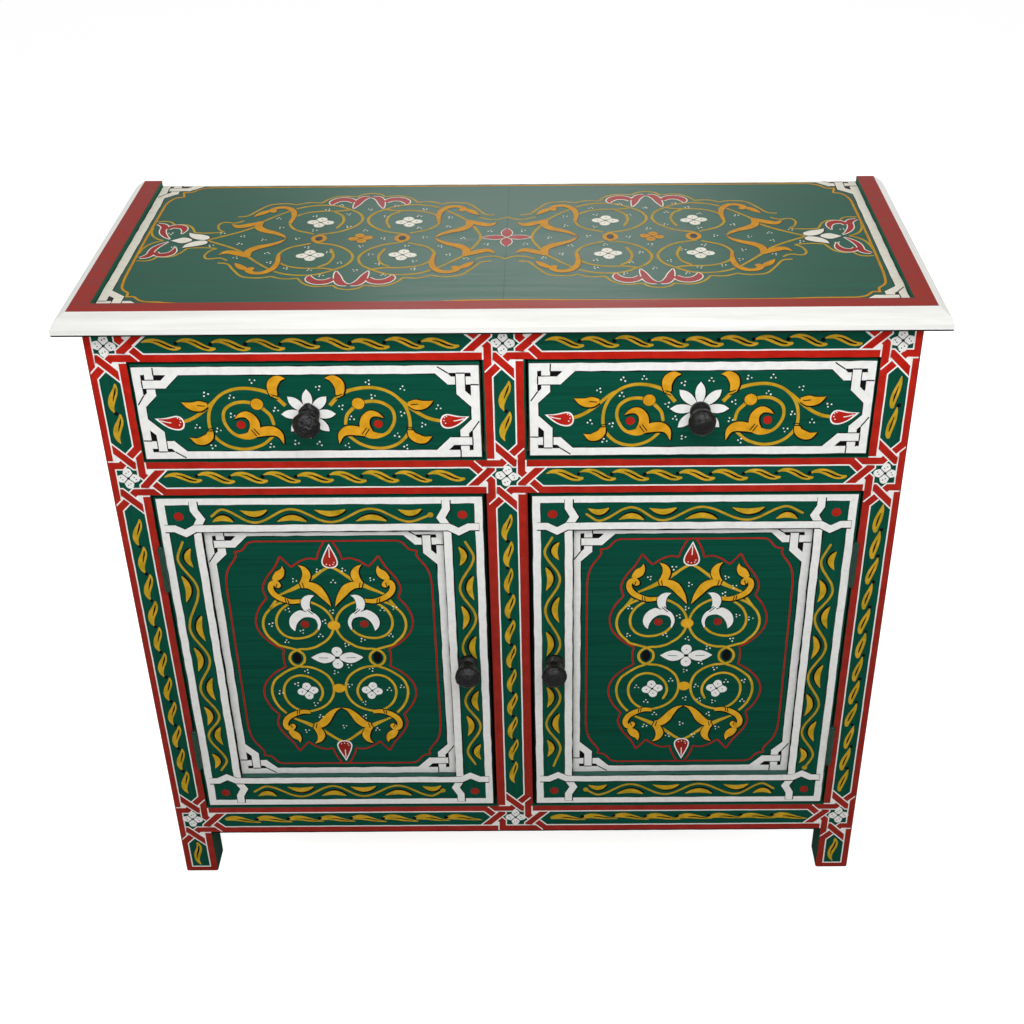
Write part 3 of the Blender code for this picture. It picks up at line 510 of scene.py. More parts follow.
def corner_knot(board, spot, width=KNOT_BAND, level=3):
    """A knot in a white band's corner, measured inwards from the band's outer corner."""
    near = 1.9 * width
    far = 2.15 * width
    edge = 2.3
    gap_middle = 1.19 * width
    gap_width = 0.5 * width
    band(board, "black", [(gap_middle, 0.95 * width), (gap_middle, 1.75 * width)], gap_width, level, spot)
    low_gap = 1.31 * width
    band(board, "black", [(2.3 * width, low_gap), (3.6 * width, low_gap)], 0.66 * width, level, spot)
    band(board, "black", [(gap_middle, 2.5 * width), (gap_middle, 3.5 * width)], gap_width, level, spot)
    upright = [(near, 0.9 * width), (near, 3.4 * width), (0.45 * width, 3.4 * width + near - 0.45 * width)]
    across = [(0.97 * width, far), (3.4 * width, far), (3.4 * width + far - 0.6 * width, 0.6 * width)]
    for index, path in enumerate((upright, across)):
        band(board, "black", path[1:], width + edge, 1.5, spot)
        band(board, "black", path[:2], width + edge, level + 1 + 2 * index, spot)
        band(board, "white", path, width, level + 2 + 2 * index, spot)
    ink = 1.5
    top = level + 5
    thin_line(board, [(2.45 * width, 0.05 * width), (2.42 * width, width)], ink, top, spot)
    thin_line(board, [(0.97 * width, 3.55 * width), (0.15 * width, 4.75 * width)], ink, top, spot)
    thin_line(board, [(0.98 * width, 1.66 * width), (0.98 * width, 2.62 * width)], ink, top, spot)


def from_corner(x, z, across, down):
    """A drawing frame that runs inwards from a corner."""
    return lambda point: (x + across * point[0], z + down * point[1])


def knotted_frame(board, left, right, low, high, width=KNOT_BAND):
    """A white band round a rectangle, given by its outer edges, with a knot in each corner."""
    half = width / 2
    corners = [(left + half, low + half), (right - half, low + half),
               (right - half, high - half), (left + half, high - half)]
    band(board, "black", corners, width + 2.2, 1, closed=True)
    band(board, "white", corners, width, 2, closed=True)
    for x, across in ((left, 1), (right, -1)):
        for z, down in ((high, -1), (low, 1)):
            spot = from_corner(x, z, across, down)
            corner_knot(board, spot if across == -down else swapped(spot), width)


# Drawer fronts: scrolls on both sides of a daisy

DRAWER_OUTER = [(-25.6, 8.2, 4.6), (-41.8, 23.8, 4.4), (-74, 30.6, 3.9), (-97, 23.8, 3.7), (-112, 7.8, 3.7),
                (-117, -11, 3.7), (-114.8, -27.5, 3.8), (-101, -42.5, 3.8), (-79.7, -48.2, 3.8),
                (-58, -42.5, 3.7), (-44.5, -31.6, 3.4)]
DRAWER_SPIRAL = [(-66, -29.5, 8), (-73, -31.4, 6), (-81, -31.8, 4.4), (-89, -28.4, 3.9), (-95, -21.5, 3.7),
                 (-99.4, -10, 3.7), (-97, 2.8, 3.8), (-86, 11.2, 3.9), (-74, 13.2, 4), (-60, 11, 4.2)]
DRAWER_FOOT = [(-64, -26.5, 10), (-70, -30, 10), (-77, -31.4, 7.6), (-84, -30.6, 4), (-89, -28.4, 0)]
DRAWER_BALL = -58.6, 10.3
DRAWER_TAIL = [(-52.6, 5, 4.2), (-44.5, -4.5, 3.9), (-41.8, -15.3, 3.6)]
DRAWER_CRESCENT = [(-87, -8.6, 0), (-80, -4, 5), (-72.5, -2.9, 8.5), (-66.5, -7.7, 10), (-64, -15.2, 11.5),
                   (-65, -22.2, 12), (-69, -28.2, 10)]
DRAWER_POINTED = [(-64, -27.7, 9), (-53, -24.7, 12), (-43, -24.7, 11.5), (-36, -29.7, 7.5), (-32.4, -42.2, 0)]
DRAWER_UPPER = [(-37.5, 20.8, 8), (-39, 29.8, 11), (-37, 37.3, 12), (-30.5, 42.4, 8), (-22.6, 42.8, 0)]
DRAWER_STEM_LEAF = [(-116, 9.8, 5), (-124, 8.6, 12.5), (-132, 7.8, 11), (-139, 9.8, 7), (-145.5, 13.3, 0)]
DRAWER_STEM = [(-98, 22.6, 1.2), (-104, 18, 3), (-111, 11.5, 3.8), (-123, 0.8, 4), (-135, -7.2, 4.2),
               (-145, -11.2, 4.2), (-153, -12.6, 4)]
DRAWER_LOWER = [(-116.5, -24.2, 6), (-119, -31.2, 9.5), (-125, -35.7, 11), (-133, -37.2, 8.5),
                (-142, -32.7, 0)]
DRAWER_DROP = (-179.5, -7.4), (-145.6, -13.0), 19.0, -2.6
RIGHT_DROP_SHIFT = 6.8
DRAWER_DOT = -80, -16.2
LEFT_DRAWER_DOTS = [(-60.8, 40), (-116.2, 23.8), (-87.2, 19.8), (-37.2, 3), (-89, -3.8), (-131, -18.2),
                    (-107.5, -22.6), (-116.2, -43.8), (-47.2, -43.8), (-17.5, -39.8), (9.5, -41.2),
                    (14.4, 30.6), (39.2, 6.2), (50, -8.6), (72, 37.4), (76, 19.8), (111, 29.2),
                    (108.7, -2.6), (151.4, 4.8), (132.5, -17.2), (101.4, -30.8), (111, -46.4),
                    (42.5, -44.2)]
RIGHT_DRAWER_DOTS = [(-116.1, 23.4), (-88.9, 36.8), (-64.8, 38.8), (-90.5, 17.4), (-37, 4.6),
                     (-126.6, -17.5), (-101.5, -21), (-109.6, -41.5), (-28, -13.1), (-17.6, -37.6),
                     (-19.4, 31.3), (12.4, 35.7), (40.2, 7.5), (36.5, -15.2), (54.9, 38.4), (82.9, 39.2),
                     (79, 18.8), (116.6, 24.7), (108.5, -7.5), (149.4, 3.1), (132.3, -18.3),
                     (101.6, -28.3), (50, -43)]
# Each drawer's own hand: how far its drawing sits up, how tight its two scrolls are, its daisy's size
# and its dots
DRAWER_HANDS = {
    "left": (0.0, 1.0, 1.0, 1.0, LEFT_DRAWER_DOTS),
    "right": (1.8, 0.91, 0.97, 1.08, RIGHT_DRAWER_DOTS)}


def bindings(board, places, spot, level=6):
    """Pairs of black lines across a stem, each given by its two ends."""
    for start, stop in places:
        thin_line(board, [start, stop], 1.25, level, spot)


def teardrop(tip, end, width, bend, inset=0.0):
    """Points of a drop from its tip to its round end, bent to a side and drawn smaller by an inset."""
    axis = Vector(end) - Vector(tip)
    along = axis.normalized()
    start = Vector(tip) + along * inset * 2.2
    reach = axis.length - inset * 3.2
    side = Vector((-along.y, along.x)) * bend
    points = []
    for step in range(17):
        share = math.sin(math.pi / 2 * step / 16)
        fat = share * math.sqrt(1 - share ** 4) / 0.62
        spot = start + along * reach * share + side * math.sin(math.pi * share)
        points.append((spot.x, spot.y, (width - 2 * inset) * fat))
    return points


def drop(board, shape, spot, level=4):
    """A red drop with a white edge, a white line from its tip and white dabs in its round end."""
    for colour, inset, coat in (("white", 0.0, level), ("red", 1.7, level + 1)):
        line = [(*spot((u, v)), width) for u, v, width in teardrop(*shape, inset)]
        add_stroke(board, colour, line, coat, False)
    tip, end = Vector(shape[0]), Vector(shape[1])
    middle_line = [Vector(point[:2]) for point in teardrop(*shape)]
    thin_line(board, middle_line[2:7], 1.2, level + 2, spot, "white")
    across = (end - tip).orthogonal().normalized() * shape[2]
    for share, side in ((0.84, -0.2), (0.87, 0.0), (0.84, 0.2), (0.76, 0.26)):
        dot(board, "white", tip.lerp(end, share) + across * side, 0.8, level + 2, spot, steps=4)


def drawer_half(board, spot, drop_spot, tight):
    scroll = lambda p: spot((DRAWER_BALL[0] + tight * (p[0] - DRAWER_BALL[0]), p[1]))
    stroke(board, "thin_ochre", DRAWER_OUTER, 2, scroll)
    stroke(board, "thin_ochre", DRAWER_STEM, 2.3, spot)
    stroke(board, "thin_ochre", DRAWER_TAIL, 2.6, spot, round_end=True)
    stroke(board, "thin_ochre", DRAWER_SPIRAL, 3, scroll)
    for shape in (DRAWER_CRESCENT, DRAWER_UPPER, DRAWER_STEM_LEAF):
        leaf(board, shape, spot)
    leaf(board, DRAWER_LOWER, scroll)
    stroke(board, "ochre", DRAWER_FOOT, 3.6, scroll)
    leaf(board, DRAWER_POINTED, spot, level=4.4)
    dot(board, "black", DRAWER_BALL, 8.0, 4, spot)
    dot(board, "ochre", DRAWER_BALL, 7.3, 5, spot)
    dot(board, "red", DRAWER_DOT, 5.2, 4, spot)
    drop(board, DRAWER_DROP, drop_spot)
    bindings(board, [((-66, -21), (-60, -29.5)), ((-69, -22.5), (-63.5, -31)), ((-42, 19.5), (-33.5, 16)),
                     ((-41, 22.5), (-32.5, 19.5)), ((-128, 9.2), (-119, 8.2))], spot)
    bindings(board, [((-120, -21.5), (-112, -20.5)), ((-120.5, -24), (-112, -23.5))], scroll)


def daisy(board, spot, petals=8):
    for index in range(petals):
        petal_spot = lambda p, turn=index * math.tau / petals: spot(place(0, 0, turn)(p))
        petal = [(0, 6, 5), (0, 13, 10), (0, 20, 11.6), (0, 26.5, 8.2), (0, 31.8, 0)]
        leaf(board, petal, petal_spot, 4, "white", outline=2.0)


def paint_drawer(side):
    """Brushwork on one drawer front."""
    front = side + "_drawer_front"
    left, right = edges(front, X)
    low, high = edges(front, Z)
    lift, left_tight, right_tight, daisy_size, dots = DRAWER_HANDS[side]
    board = open_board(side + "_drawer", side + "_drawer", FACE_Y, front_trim(left, right, low, high))
    knotted_frame(board, left + 1.0, right - 0.8, low + 0.4 + lift, high - 3.6 + lift)
    spot = place(middle(front, X) - 1.0, middle(front, Z) + lift)
    drawer_half(board, spot, spot, left_tight)
    drawer_half(board, mirrored(spot), mirrored(lambda p: spot((p[0] + RIGHT_DROP_SHIFT, p[1]))), right_tight)
    daisy(board, lambda p: spot((p[0] * daisy_size, p[1] * daisy_size - 2.85 + lift)))
    three_dots(board, dots, spot)
    return board


# Door frames: white bands with kinked corners round strips of vine

DOOR_BAND = 9.6
DOOR_EDGE = 2.6
INNER_LINE = 46.6      # from a door's edge to the middle of its inner white band
KINK = [(0, 0), (12.5, 0), (25, 6.8), (37, 0)]


def inner_band(board, spot, length, level):
    """A white band with a kink towards the door's middle near each end."""
    path = KINK + [(length - along, across) for along, across in reversed(KINK)]
    band(board, "black", path, DOOR_BAND + 2.2, level, shaded(spot))
    band(board, "white", path, DOOR_BAND, level + 1, spot)


VINE_WAVE = 9.3
VINE_STEM = 3.0
VINE_PITCH = 45.0
VINE_MOON = [(-17, -8, 0.6), (-9.5, -4.7, 5.2), (0, -2.7, 7.6), (9.5, -4.4, 6.2), (16.5, -7.6, 2.4)]

# Each vine: the middle of its strip, where it starts, its turns one by one, where it ends, the side of the
# first turn, and whether its start and its end are thick dabs
VINES_ACROSS = {
    "left": [
        (590.5, -359, (-346.7, -307.6, -262.6, -215, -166, -118.5), -93.5, 1, (False, True)),
        (149, -359, (-342.4, -295, -250, -208.7, -161, -114), -99, 1, (False, True))],
    "right": [
        (590, 96, (110, 150, 188, 235, 291.5, 339), 358, -1, (False, False)),
        (149, 98, (114, 159, 208, 253.5, 304.6, 341.5), 357, -1, (True, False))]}
VINES_UPRIGHT = {
    "left": [
        (-399.6, 554, (530.5, 484.5, 424, 375, 326.6, 281.8, 247.6, 204), 188, -1, (False, False)),
        (-52.7, 551.6, (530.5, 483, 438, 391, 346, 304, 262, 217), 196, 1, (False, False))],
    "right": [
        (54, 557, (537, 496, 449, 396, 352, 309.5, 265, 222.6), 192, -1, (False, False)),
        (396.5, 543.7, (520, 475, 434.5, 388, 341, 293.7, 249, 207), 186, -1, (False, True))]}


def vine(board, spot, start, turns, end, side, dabs):
    """A waving ochre stem with a half-moon leaf in the hollow of each turn."""
    stem = [(start, 0, VINE_STEM)]
    for index, along in enumerate(turns):
        crest = side * (-1) ** index * VINE_WAVE
        stem.append((along, crest, VINE_STEM))
        if index < len(turns) - 1:
            step = turns[index + 1] - along
            for share in (0.25, 0.5, 0.75):
                stem.append((along + step * share, crest * math.cos(math.pi * share), VINE_STEM))
    stem.append((end, 0, VINE_STEM))
    stroke(board, "thin_ochre", stem, 2, spot, round_end=True, round_start=True)
    for present, along in zip(dabs, (start, end)):
        if present:
            dot(board, "thin_ochre", (along, 0), 3.6, 3, spot)
    ends = (start,) + tuple(turns) + (end,)
    for index, along in enumerate(turns):
        bulge = side * (-1) ** index
        room = abs(ends[index + 2] - ends[index]) / 2
        stretch = min(1.12, max(0.72, room / VINE_PITCH))
        moon = [(along + u * stretch, v * bulge, w) for u, v, w in VINE_MOON]
        shade = [(u + 0.9, v + 2.0 * bulge, w + 1.0) for u, v, w in moon]
        stroke(board, "black", shade, 3, spot, round_end=True)
        stroke(board, "ochre", moon, 4, spot, round_end=True)


def paint_door_frame(side):
    stiles = [edges(f"{side}_door_{kind}_stile", X) for kind in ("hinge", "knob")]
    left = min(stile[0] for stile in stiles)
    right = max(stile[1] for stile in stiles)
    low, high = edges(side + "_door_hinge_stile", Z)
    board = open_board(side + "_door", side + "_door", FACE_Y, front_trim(left, right, low, high))
    half = DOOR_BAND / 2
    inset = DOOR_EDGE + half
    rim = [(left + inset, low + 0.4 + half), (right - inset, low + 0.4 + half),
           (right - inset, high - 0.4 - half), (left + inset, high - 0.4 - half)]
    band(board, "black", rim, DOOR_BAND + 1.2, 1, closed=True)
    band(board, "white", rim, DOOR_BAND, 2, closed=True)
    tall = high - low - DOOR_BAND
    wide = right - left - 2 * inset
    courses = ((lambda p: (left + INNER_LINE + p[1], low + half + p[0]), tall, 3),
               (lambda p: (right - INNER_LINE - p[1], low + half + p[0]), tall, 3),
               (lambda p: (left + inset + p[0], low + INNER_LINE - 2 + p[1]), wide, 5),
               (lambda p: (left + inset + p[0], high - INNER_LINE + 3.6 - p[1]), wide, 5))
    for spot, length, level in courses:
        inner_band(board, spot, length, level)
    for x in (left + 27, right - 27):
        for z in (low + 23, high - 26):
            dot(board, "red", (x, z), 5.8, 2)
    for z, *course in VINES_ACROSS[side]:
        vine(board, place(0, z), *course)
    for x, *course in VINES_UPRIGHT[side]:
        vine(board, swapped(place(x, 0)), *course)
    return board


# Door panels: a red lobed medallion round paired spirals

RED_LINE = 2.1
SIDE_PETAL = [(-34, 0.6, 0), (-27, 0.4, 10), (-18, 0, 17), (-9, 0, 13), (-3, 0, 5)]
PANEL_LINE = 129.4, 178.4      # half the width and height of the red line round the medallion
PANEL_CORNER = [
    [(-88, 178.4), (-94.5, 176.2), (-99.5, 170.5), (-103.8, 165.6), (-113, 163.4)],
    [(-113, 163.4), (-112, 157.6), (-115.5, 151), (-123, 140), (-127.6, 127), (-129.4, 110)]]
MEDALLION_LOBES = [
    [(-5, 178), (-9.8, 169), (-13.6, 160), (-15.8, 151.5)],
    [(-15.8, 151.5), (-25, 153.2), (-36, 149.6), (-48.5, 140.6)],
    [(-48.5, 140.6), (-54.5, 148), (-61.3, 156.3)],
    [(-61.3, 156.3), (-69.4, 140.2), (-81.2, 123.6), (-86.8, 108.5), (-83.4, 93.6)],
    [(-83.4, 93.6), (-94, 79), (-100.4, 58.5), (-96.6, 40.5), (-82.6, 23.4), (-68, 13.6)],
    [(-68, 13.6), (-69.6, 7), (-69.8, 0)]]
HEAD_HOOK = [(-41.8, 89.2, 5.6), (-52.8, 88.7, 6.6), (-64.8, 93.2, 7.5), (-73.8, 100.7, 7.5), (-77, 109.7, 7),
             (-74.8, 116.2, 7), (-70.3, 117.2, 8), (-67.6, 113.6, 8.4)]
HEAD_TIP = [(-72.3, 121.2, 5), (-68.3, 125.2, 10), (-63.8, 130.2, 11.5), (-60.3, 135.7, 6), (-59.6, 142, 0)]
HEAD_CRESCENT = [(-39.8, 143.6, 0), (-33.3, 138.2, 6), (-30.3, 129.7, 10), (-32.8, 120.7, 9.5),
                 (-37.8, 114.2, 6.5)]
HEAD_STEM = [(-37.8, 114.2, 6.5), (-48.8, 107.7, 5), (-58.8, 102.7, 3.4), (-67.3, 98.2, 2.4)]
HEAD_LONG = [(-38.5, 112.7, 7), (-28.8, 113.2, 10), (-19.8, 108.7, 12), (-12.8, 99.7, 10), (-7.3, 90.7, 6),
             (-2.6, 80.7, 0)]
LOW_LONG = [(-37.5, 111.6, 7), (-30.5, 111, 10.5), (-22.9, 104.4, 11.5), (-16.3, 94.5, 9), (-8.6, 86, 4.6),
            (-0.4, 82.4, 0)]
HEAD_REACH = [(-30.8, 118.2, 5), (-18.8, 127.7, 4), (-9.8, 135.2, 3.6), (-2, 140, 3.4)]
HEAD_DROP = (0.8, 174.6), (0.0, 138.4), 20.6, 0.0
UPPER_CIRCLE = (-46.5, 52.5), (45.0, 38.2)
UPPER_RING = [(-56.8, 84.7), (-67.4, 75.4), (-73.8, 61.7), (-73.1, 47.6), (-66, 36.7), (-54.5, 31.6),
              (-44.5, 31.6), (-36, 33.8), (-27, 39), (-21.6, 45.6)]
WHITE_CRESCENT = [(-21.4, 44.8, 2.2), (-19.4, 54.5, 4.4), (-22.6, 63.8, 6), (-31, 69.2, 9.6),
                  (-41, 69.4, 12.2), (-49.4, 63.2, 12.4), (-53, 54.6, 9.8), (-52.8, 47.8, 5.6),
                  (-51.3, 42.6, 0)]
WHITE_LEAF = [(-30.5, 71, 6), (-34.8, 81.4, 10.5), (-34.2, 89.6, 11), (-29.6, 95.2, 7), (-23, 97.8, 0)]
WHITE_TIES = [((-34, 76), (-26.5, 69)), ((-31.5, 77.5), (-24.4, 70.5)), ((-43, 76.6), (-35, 73))]
CIRCLE_LINE = 3.2
OUTER_STRAND = [(-74, 20.9), (-62.5, 16.7), (-50.9, 12.5), (-43.2, 4.8), (-43.6, -6), (-52, -13.7),
                (-62.5, -18.3), (-74, -26), (-84.6, -36.4), (-89.6, -51.3), (-88.2, -66.9),
                (-81.9, -81.3), (-74, -91)]
INNER_STRAND = [(-25.9, 17.9), (-37.5, 14.4), (-49, 13.6), (-58.6, 8.2), (-62, -0.2), (-58.2, -9.8),
                (-49, -13.7), (-37.5, -14.8), (-25.9, -19.5), (-14.6, -29), (-8.9, -41.3), (-8.2, -55.4),
                (-13.2, -69.7), (-23.2, -80.4), (-37.5, -86.9), (-49, -87.7), (-58.9, -84), (-68.9, -74),
                (-73.9, -59.7), (-72.5, -45.4), (-63.2, -32.6), (-50.3, -28.3), (-37.5, -31.9),
                (-27.5, -41.3), (-23.2, -52.6), (-23.9, -61.3), (-27.5, -69.7)]
STRAND_EYE = (-52.4, 0.2), (5.8, 8.8)
LEFT_PANEL_DOTS = [(-15.2, 135.5), (16.4, 136.3), (-45.9, 120.9), (2.9, 118.2), (51, 121.7),
                   (-57.9, 75.9), (-1.7, 72.9), (-80.9, 53.6), (-12.5, 57.5), (-42.1, 42.1), (-19, 35.5),
                   (-63.2, 26.7), (62.5, 75.5), (77.9, 78.6), (71.4, 35.5), (34.5, 28.6), (13.3, 20.9),
                   (14.8, -12.9), (-41.3, -21.4), (-3.6, -23.3), (44.1, -19.5), (-55.5, -42.5),
                   (13.3, -44.5), (-78.6, -56), (65.6, -52.1), (82.5, -47.5), (-33.6, -75.2),
                   (31.8, -74.5), (-27.9, -96.4), (31, -97.5), (2.2, -113.7), (-49, -121.4),
                   (46.4, -119.5)]
RIGHT_PANEL_DOTS = [(-21, 136), (-51, 121), (0, 111), (45.5, 121), (56, 107.5), (44.5, 96), (-75, 76),
                    (-2.5, 75), (-12, 62.5), (63, 63), (79.5, 58.5), (-76, 33), (-28, 33), (0.5, 27),
                    (58, 25.5), (27.5, 12.5), (19.5, -11.5), (38.5, -20.5), (-1, -24), (-18.5, -39.5),
                    (54.5, -42), (77.5, -41.5), (-63, -50.5), (15.5, -49.5), (20.5, -72), (1.5, -70.5),
                    (-50, -74.5), (39.5, -75.5), (78, -74.5), (-38, -96), (34, -96.5), (-2, -112.5),
                    (-51, -116), (46, -119.5), (-19, -133), (15.5, -133)]
PANEL_DOTS = {"left": LEFT_PANEL_DOTS, "right": RIGHT_PANEL_DOTS}


def ornament_head(board, spot, long_leaf):
    """The leaf scroll that crowns a pair of spirals."""
    stroke(board, "thin_ochre", HEAD_STEM, 3, spot)
    stroke(board, "thin_ochre", HEAD_REACH, 2.6, spot)
    leaf(board, HEAD_HOOK, spot, round_end=True)
    leaf(board, HEAD_TIP, spot, level=4.6)
    leaf(board, HEAD_CRESCENT, spot)
    leaf(board, long_leaf, spot, level=4.6)
    bindings(board, [((-57, 92.4), (-55.6, 84.8)), ((-60, 93.6), (-58.8, 86)), ((-41, 116.4), (-38.2, 109)),
                     ((-36.4, 117), (-34.6, 108.6)), ((-70, 110.5), (-68, 116))], spot)


def ring(board, point, radii, spot, level=3):
    """An ochre ring round a black oval."""
    stroke(board, "ochre", arc(point, radii, 0, 330, 5.0, 11), level, spot, closed=True)
    dot(board, "black", point, radii[0] - 2.6, level + 1, spot, tall=(radii[1] - 2.6) / (radii[0] - 2.6))


def panel_outline(board, spot):
    """Half of the red line round the medallion, with its notched corners."""
    across, up = PANEL_LINE
    for half in (spot, upturned(spot)):
        for piece in PANEL_CORNER:
            thin_line(board, piece, RED_LINE, 1, half, "dark_red")
        band(board, "dark_red", [(-88.5, up), (0, up)], RED_LINE, 1, half)
    band(board, "dark_red", [(-across, 110.5), (-across, -110.5)], RED_LINE, 1, spot)


def panel_half(board, spot):
    for lobes, long_leaf in ((spot, HEAD_LONG), (upturned(spot), LOW_LONG)):
        for lobe in MEDALLION_LOBES:
            thin_line(board, lobe, RED_LINE, 1, lobes, "dark_red")
        ornament_head(board, lobes, long_leaf)
    outer = arc(*UPPER_CIRCLE, 140, 225, CIRCLE_LINE, 6)
    inner = arc(*UPPER_CIRCLE, 418, 303, CIRCLE_LINE, 8)
    outer_strand = [(u, v, CIRCLE_LINE) for u, v in OUTER_STRAND]
    inner_strand = [(u, v, CIRCLE_LINE) for u, v in INNER_STRAND]
    stroke(board, "thin_ochre", [(-72, 90, 4)] + outer + outer_strand, 2, spot)
    stroke(board, "thin_ochre", inner + inner_strand, 2.3, spot, round_end=True)
    stroke(board, "thin_ochre", arc(*UPPER_CIRCLE, 58, 140, CIRCLE_LINE, 6), 2, spot)
    thin_line(board, UPPER_RING, CIRCLE_LINE, 2.3, spot, "thin_ochre")
    leaf(board, WHITE_LEAF, spot, 7, "white", outline=1.6)
    leaf(board, WHITE_CRESCENT, spot, 7.6, "white", outline=1.6)
    bindings(board, WHITE_TIES, spot, 9)
    dot(board, "red", (-38, 53.4), 5.5, 3, spot)
    eye, (eye_across, eye_up) = STRAND_EYE
    dot(board, "black", eye, eye_across, 1, spot, tall=eye_up / eye_across)
    four_petals(board, (-42.5, -54), 6.6, 6.2, spot, turn=0.15, dots=1, cross=0.8)


def paint_panel(side, lean):
    stiles = [edges(f"{side}_door_{kind}_stile", X) for kind in ("hinge", "knob")]
    left = min(stile[1] for stile in stiles)
    right = max(stile[0] for stile in stiles)
    low = edges(side + "_door_bottom_rail", Z)[1]
    high = edges(side + "_door_top_rail", Z)[0]
    board = open_board(side + "_panel", side + "_door", PANEL_Y, (left, right, low, high))
    knotted_frame(board, left + 2.8, right - 2.8, low + 0.8, high - 0.6)
    x = (left + right) / 2
    z = (low + high) / 2
    for half in (place(x, z), mirrored(place(x, z))):
        panel_outline(board, half)
    spot = place(x + 0.4, z, lean=lean)
    for half in (spot, mirrored(spot)):
        panel_half(board, half)
        leaf(board, SIDE_PETAL, half, 5, "white", outline=1.6)
        thin_line(board, [(-24, 0.2), (-12, -0.2)], 0.8, 7, half)
    for ball_v in (51.2, -49.7):
        dot(board, "ochre", (-1.0, ball_v), 8.2, 3, spot, 0.87)
    for half in (spot, upturned(spot)):
        drop(board, HEAD_DROP, half)
        leaf(board, [(0, 2, 4), (0, 7, 12), (0, 10.5, 14)], half, 5.6, "white", outline=1.6, round_end=True)
        dot(board, "black", (0, 9.5), 0.8, 7, half, steps=4)
    dot(board, "black", (0, 0), 1.9, 8, spot, steps=6)
    three_dots(board, PANEL_DOTS[side], spot)
    return board


# The top: two medallions side by side

TOP_LINE = 2.9
TOP_BAND = 10.6
RIM_FLAT = 22.8         # the raised rim's flat top
RIM_WIDTH = 39.2        # the whole rim with its sloping outside
BAND_PAST_BACK = 6.5    # how far the back white band would run on behind the board's edge
BAND_PAST_FRONT = 3.8   # how far the front one runs on under the rim
MEDALLION_X = 179.0
TOP_MIDDLE_Y = 222.0
QUAD_WIDTH = 3.4        # the brush width of the spirals
QUAD_OUTER = [(54.2, 13), (27.2, 23.4), (9.6, 43), (3.6, 62.9), (9, 84.5), (21.8, 99), (40.7, 112.9),
              (59.6, 115.6), (78.5, 111.5), (92, 103.4)]
QUAD_INNER = [(21.8, 99), (36, 94.6), (59.6, 94), (78.5, 87.2), (92, 71), (93.4, 49.4), (84, 30.4),
              (59.6, 15.6)]
QUAD_ARC = [(42, 91.2, 3.4), (31.2, 79, 3.4), (27.2, 57.5, 3.4), (32.6, 35.8, 3.4)]
QUAD_HOOK = [(93.4, 52, 4), (92, 79, 6.5), (96, 97, 8), (105.6, 107.6, 8.5), (116.4, 107.4, 8),
             (122.6, 100, 8.6), (120.6, 94.6, 9)]
QUAD_TIP = [(125.6, 97.3, 6), (131, 92, 9.5), (136.6, 85, 8), (143, 75.4, 0)]
QUAD_LINE = [(97, 99, 2.6), (112, 81, 3), (130, 57, 3.8)]
QUAD_CRESCENT = [(129, 57.5, 7), (143.4, 47.6, 11), (157, 42.2, 10), (166.8, 51.7, 0)]
QUAD_LONG = [(131.2, 58.5, 8), (131.2, 39.5, 10), (122.5, 28, 11), (109, 20, 8.5), (98, 11, 5.5), (91, 0, 0)]
QUAD_LOBES = [
    [(-1, 158.4), (4, 158), (12.5, 154), (18, 146)],
    [(18, 146), (25, 147.4), (35, 149), (45, 146.4), (54, 138.5), (61.5, 124.6)],
    [(61.5, 124.6), (78.5, 125.6), (93.4, 118.3)],
    [(93.4, 118.3), (104, 122), (113, 122.3), (127.2, 118.3), (140.7, 98), (151.5, 79), (163, 76)]]
MIDDLE_LOBE = [(143.4, 69), (156, 62), (167.7, 61.5), (180, 69.6)]
MIDDLE_TIE = [(129, 54), (138, 35.8), (147.5, 0), (138, -35.8), (129, -54)]
QUAD_RED_OUTER = [(20, 126, 7), (27, 134.5, 11), (36, 136.5, 12.5), (44, 132, 11), (48, 124, 8),
                  (48, 115.5, 0)]
QUAD_RED_INNER = [(1.5, 145, 5), (8, 142, 9.5), (13, 133, 10), (15.5, 121, 8), (17.5, 112, 5), (19, 103, 0)]
END_LOBES = [
    [(-261.5, 64), (-252, 65), (-244.5, 62.4), (-238, 52)],
    [(-238, 51.4), (-228, 53.6), (-220.8, 51), (-214.5, 43), (-208, 26)],
    [(-208, 26), (-197, 24.3), (-183, 24.6), (-172, 27.4)],
    [(-172, 27.2), (-178.4, 34), (-181.8, 43), (-182.4, 52), (-178.4, 59.6), (-172, 60), (-165, 57.6),
     (-159, 59.6), (-153, 65.5)]]
END_POINT = [(-263.5, 43), (-262, 28), (-257.6, 14.5), (-250, 5), (-242, 0)]
END_RED_OUTER = [(-260, 56, 3), (-253, 52, 8), (-249, 45, 8.5), (-249.5, 36, 7), (-247.5, 25, 7),
                 (-241, 12, 4), (-235, 4.5, 0)]
END_RED_INNER = [(-244, 38, 5), (-240, 45.5, 8), (-233, 47, 10.5), (-226, 43.5, 9.5), (-222.5, 34, 6),
                 (-223.5, 21, 0)]
END_MIDDLE = -3.0      # the spray's own middle line lies a little in front of the medallion's
TULIP_TONGUE = [(-232.6, -1, 0), (-226, -0.6, 10), (-219.5, -0.4, 18), (-213, 0, 15.5), (-207, 0, 5)]
TULIP_PETAL = [(-214.5, 24.6, 0), (-208.5, 17.2, 10), (-200.5, 11.4, 15.5), (-193.6, 8.0, 14.4)]
CORNER_BACK = [
    [(-213, 184.6), (-221, 183), (-229.5, 178.5), (-236.8, 168.8)],
    [(-236.8, 168.8), (-242, 166), (-249, 166.6)],
    [(-249, 167.6), (-247, 158), (-245, 149)],
    [(-245, 149), (-253.4, 147), (-259.5, 138.3), (-263.3, 123), (-264, 100)]]
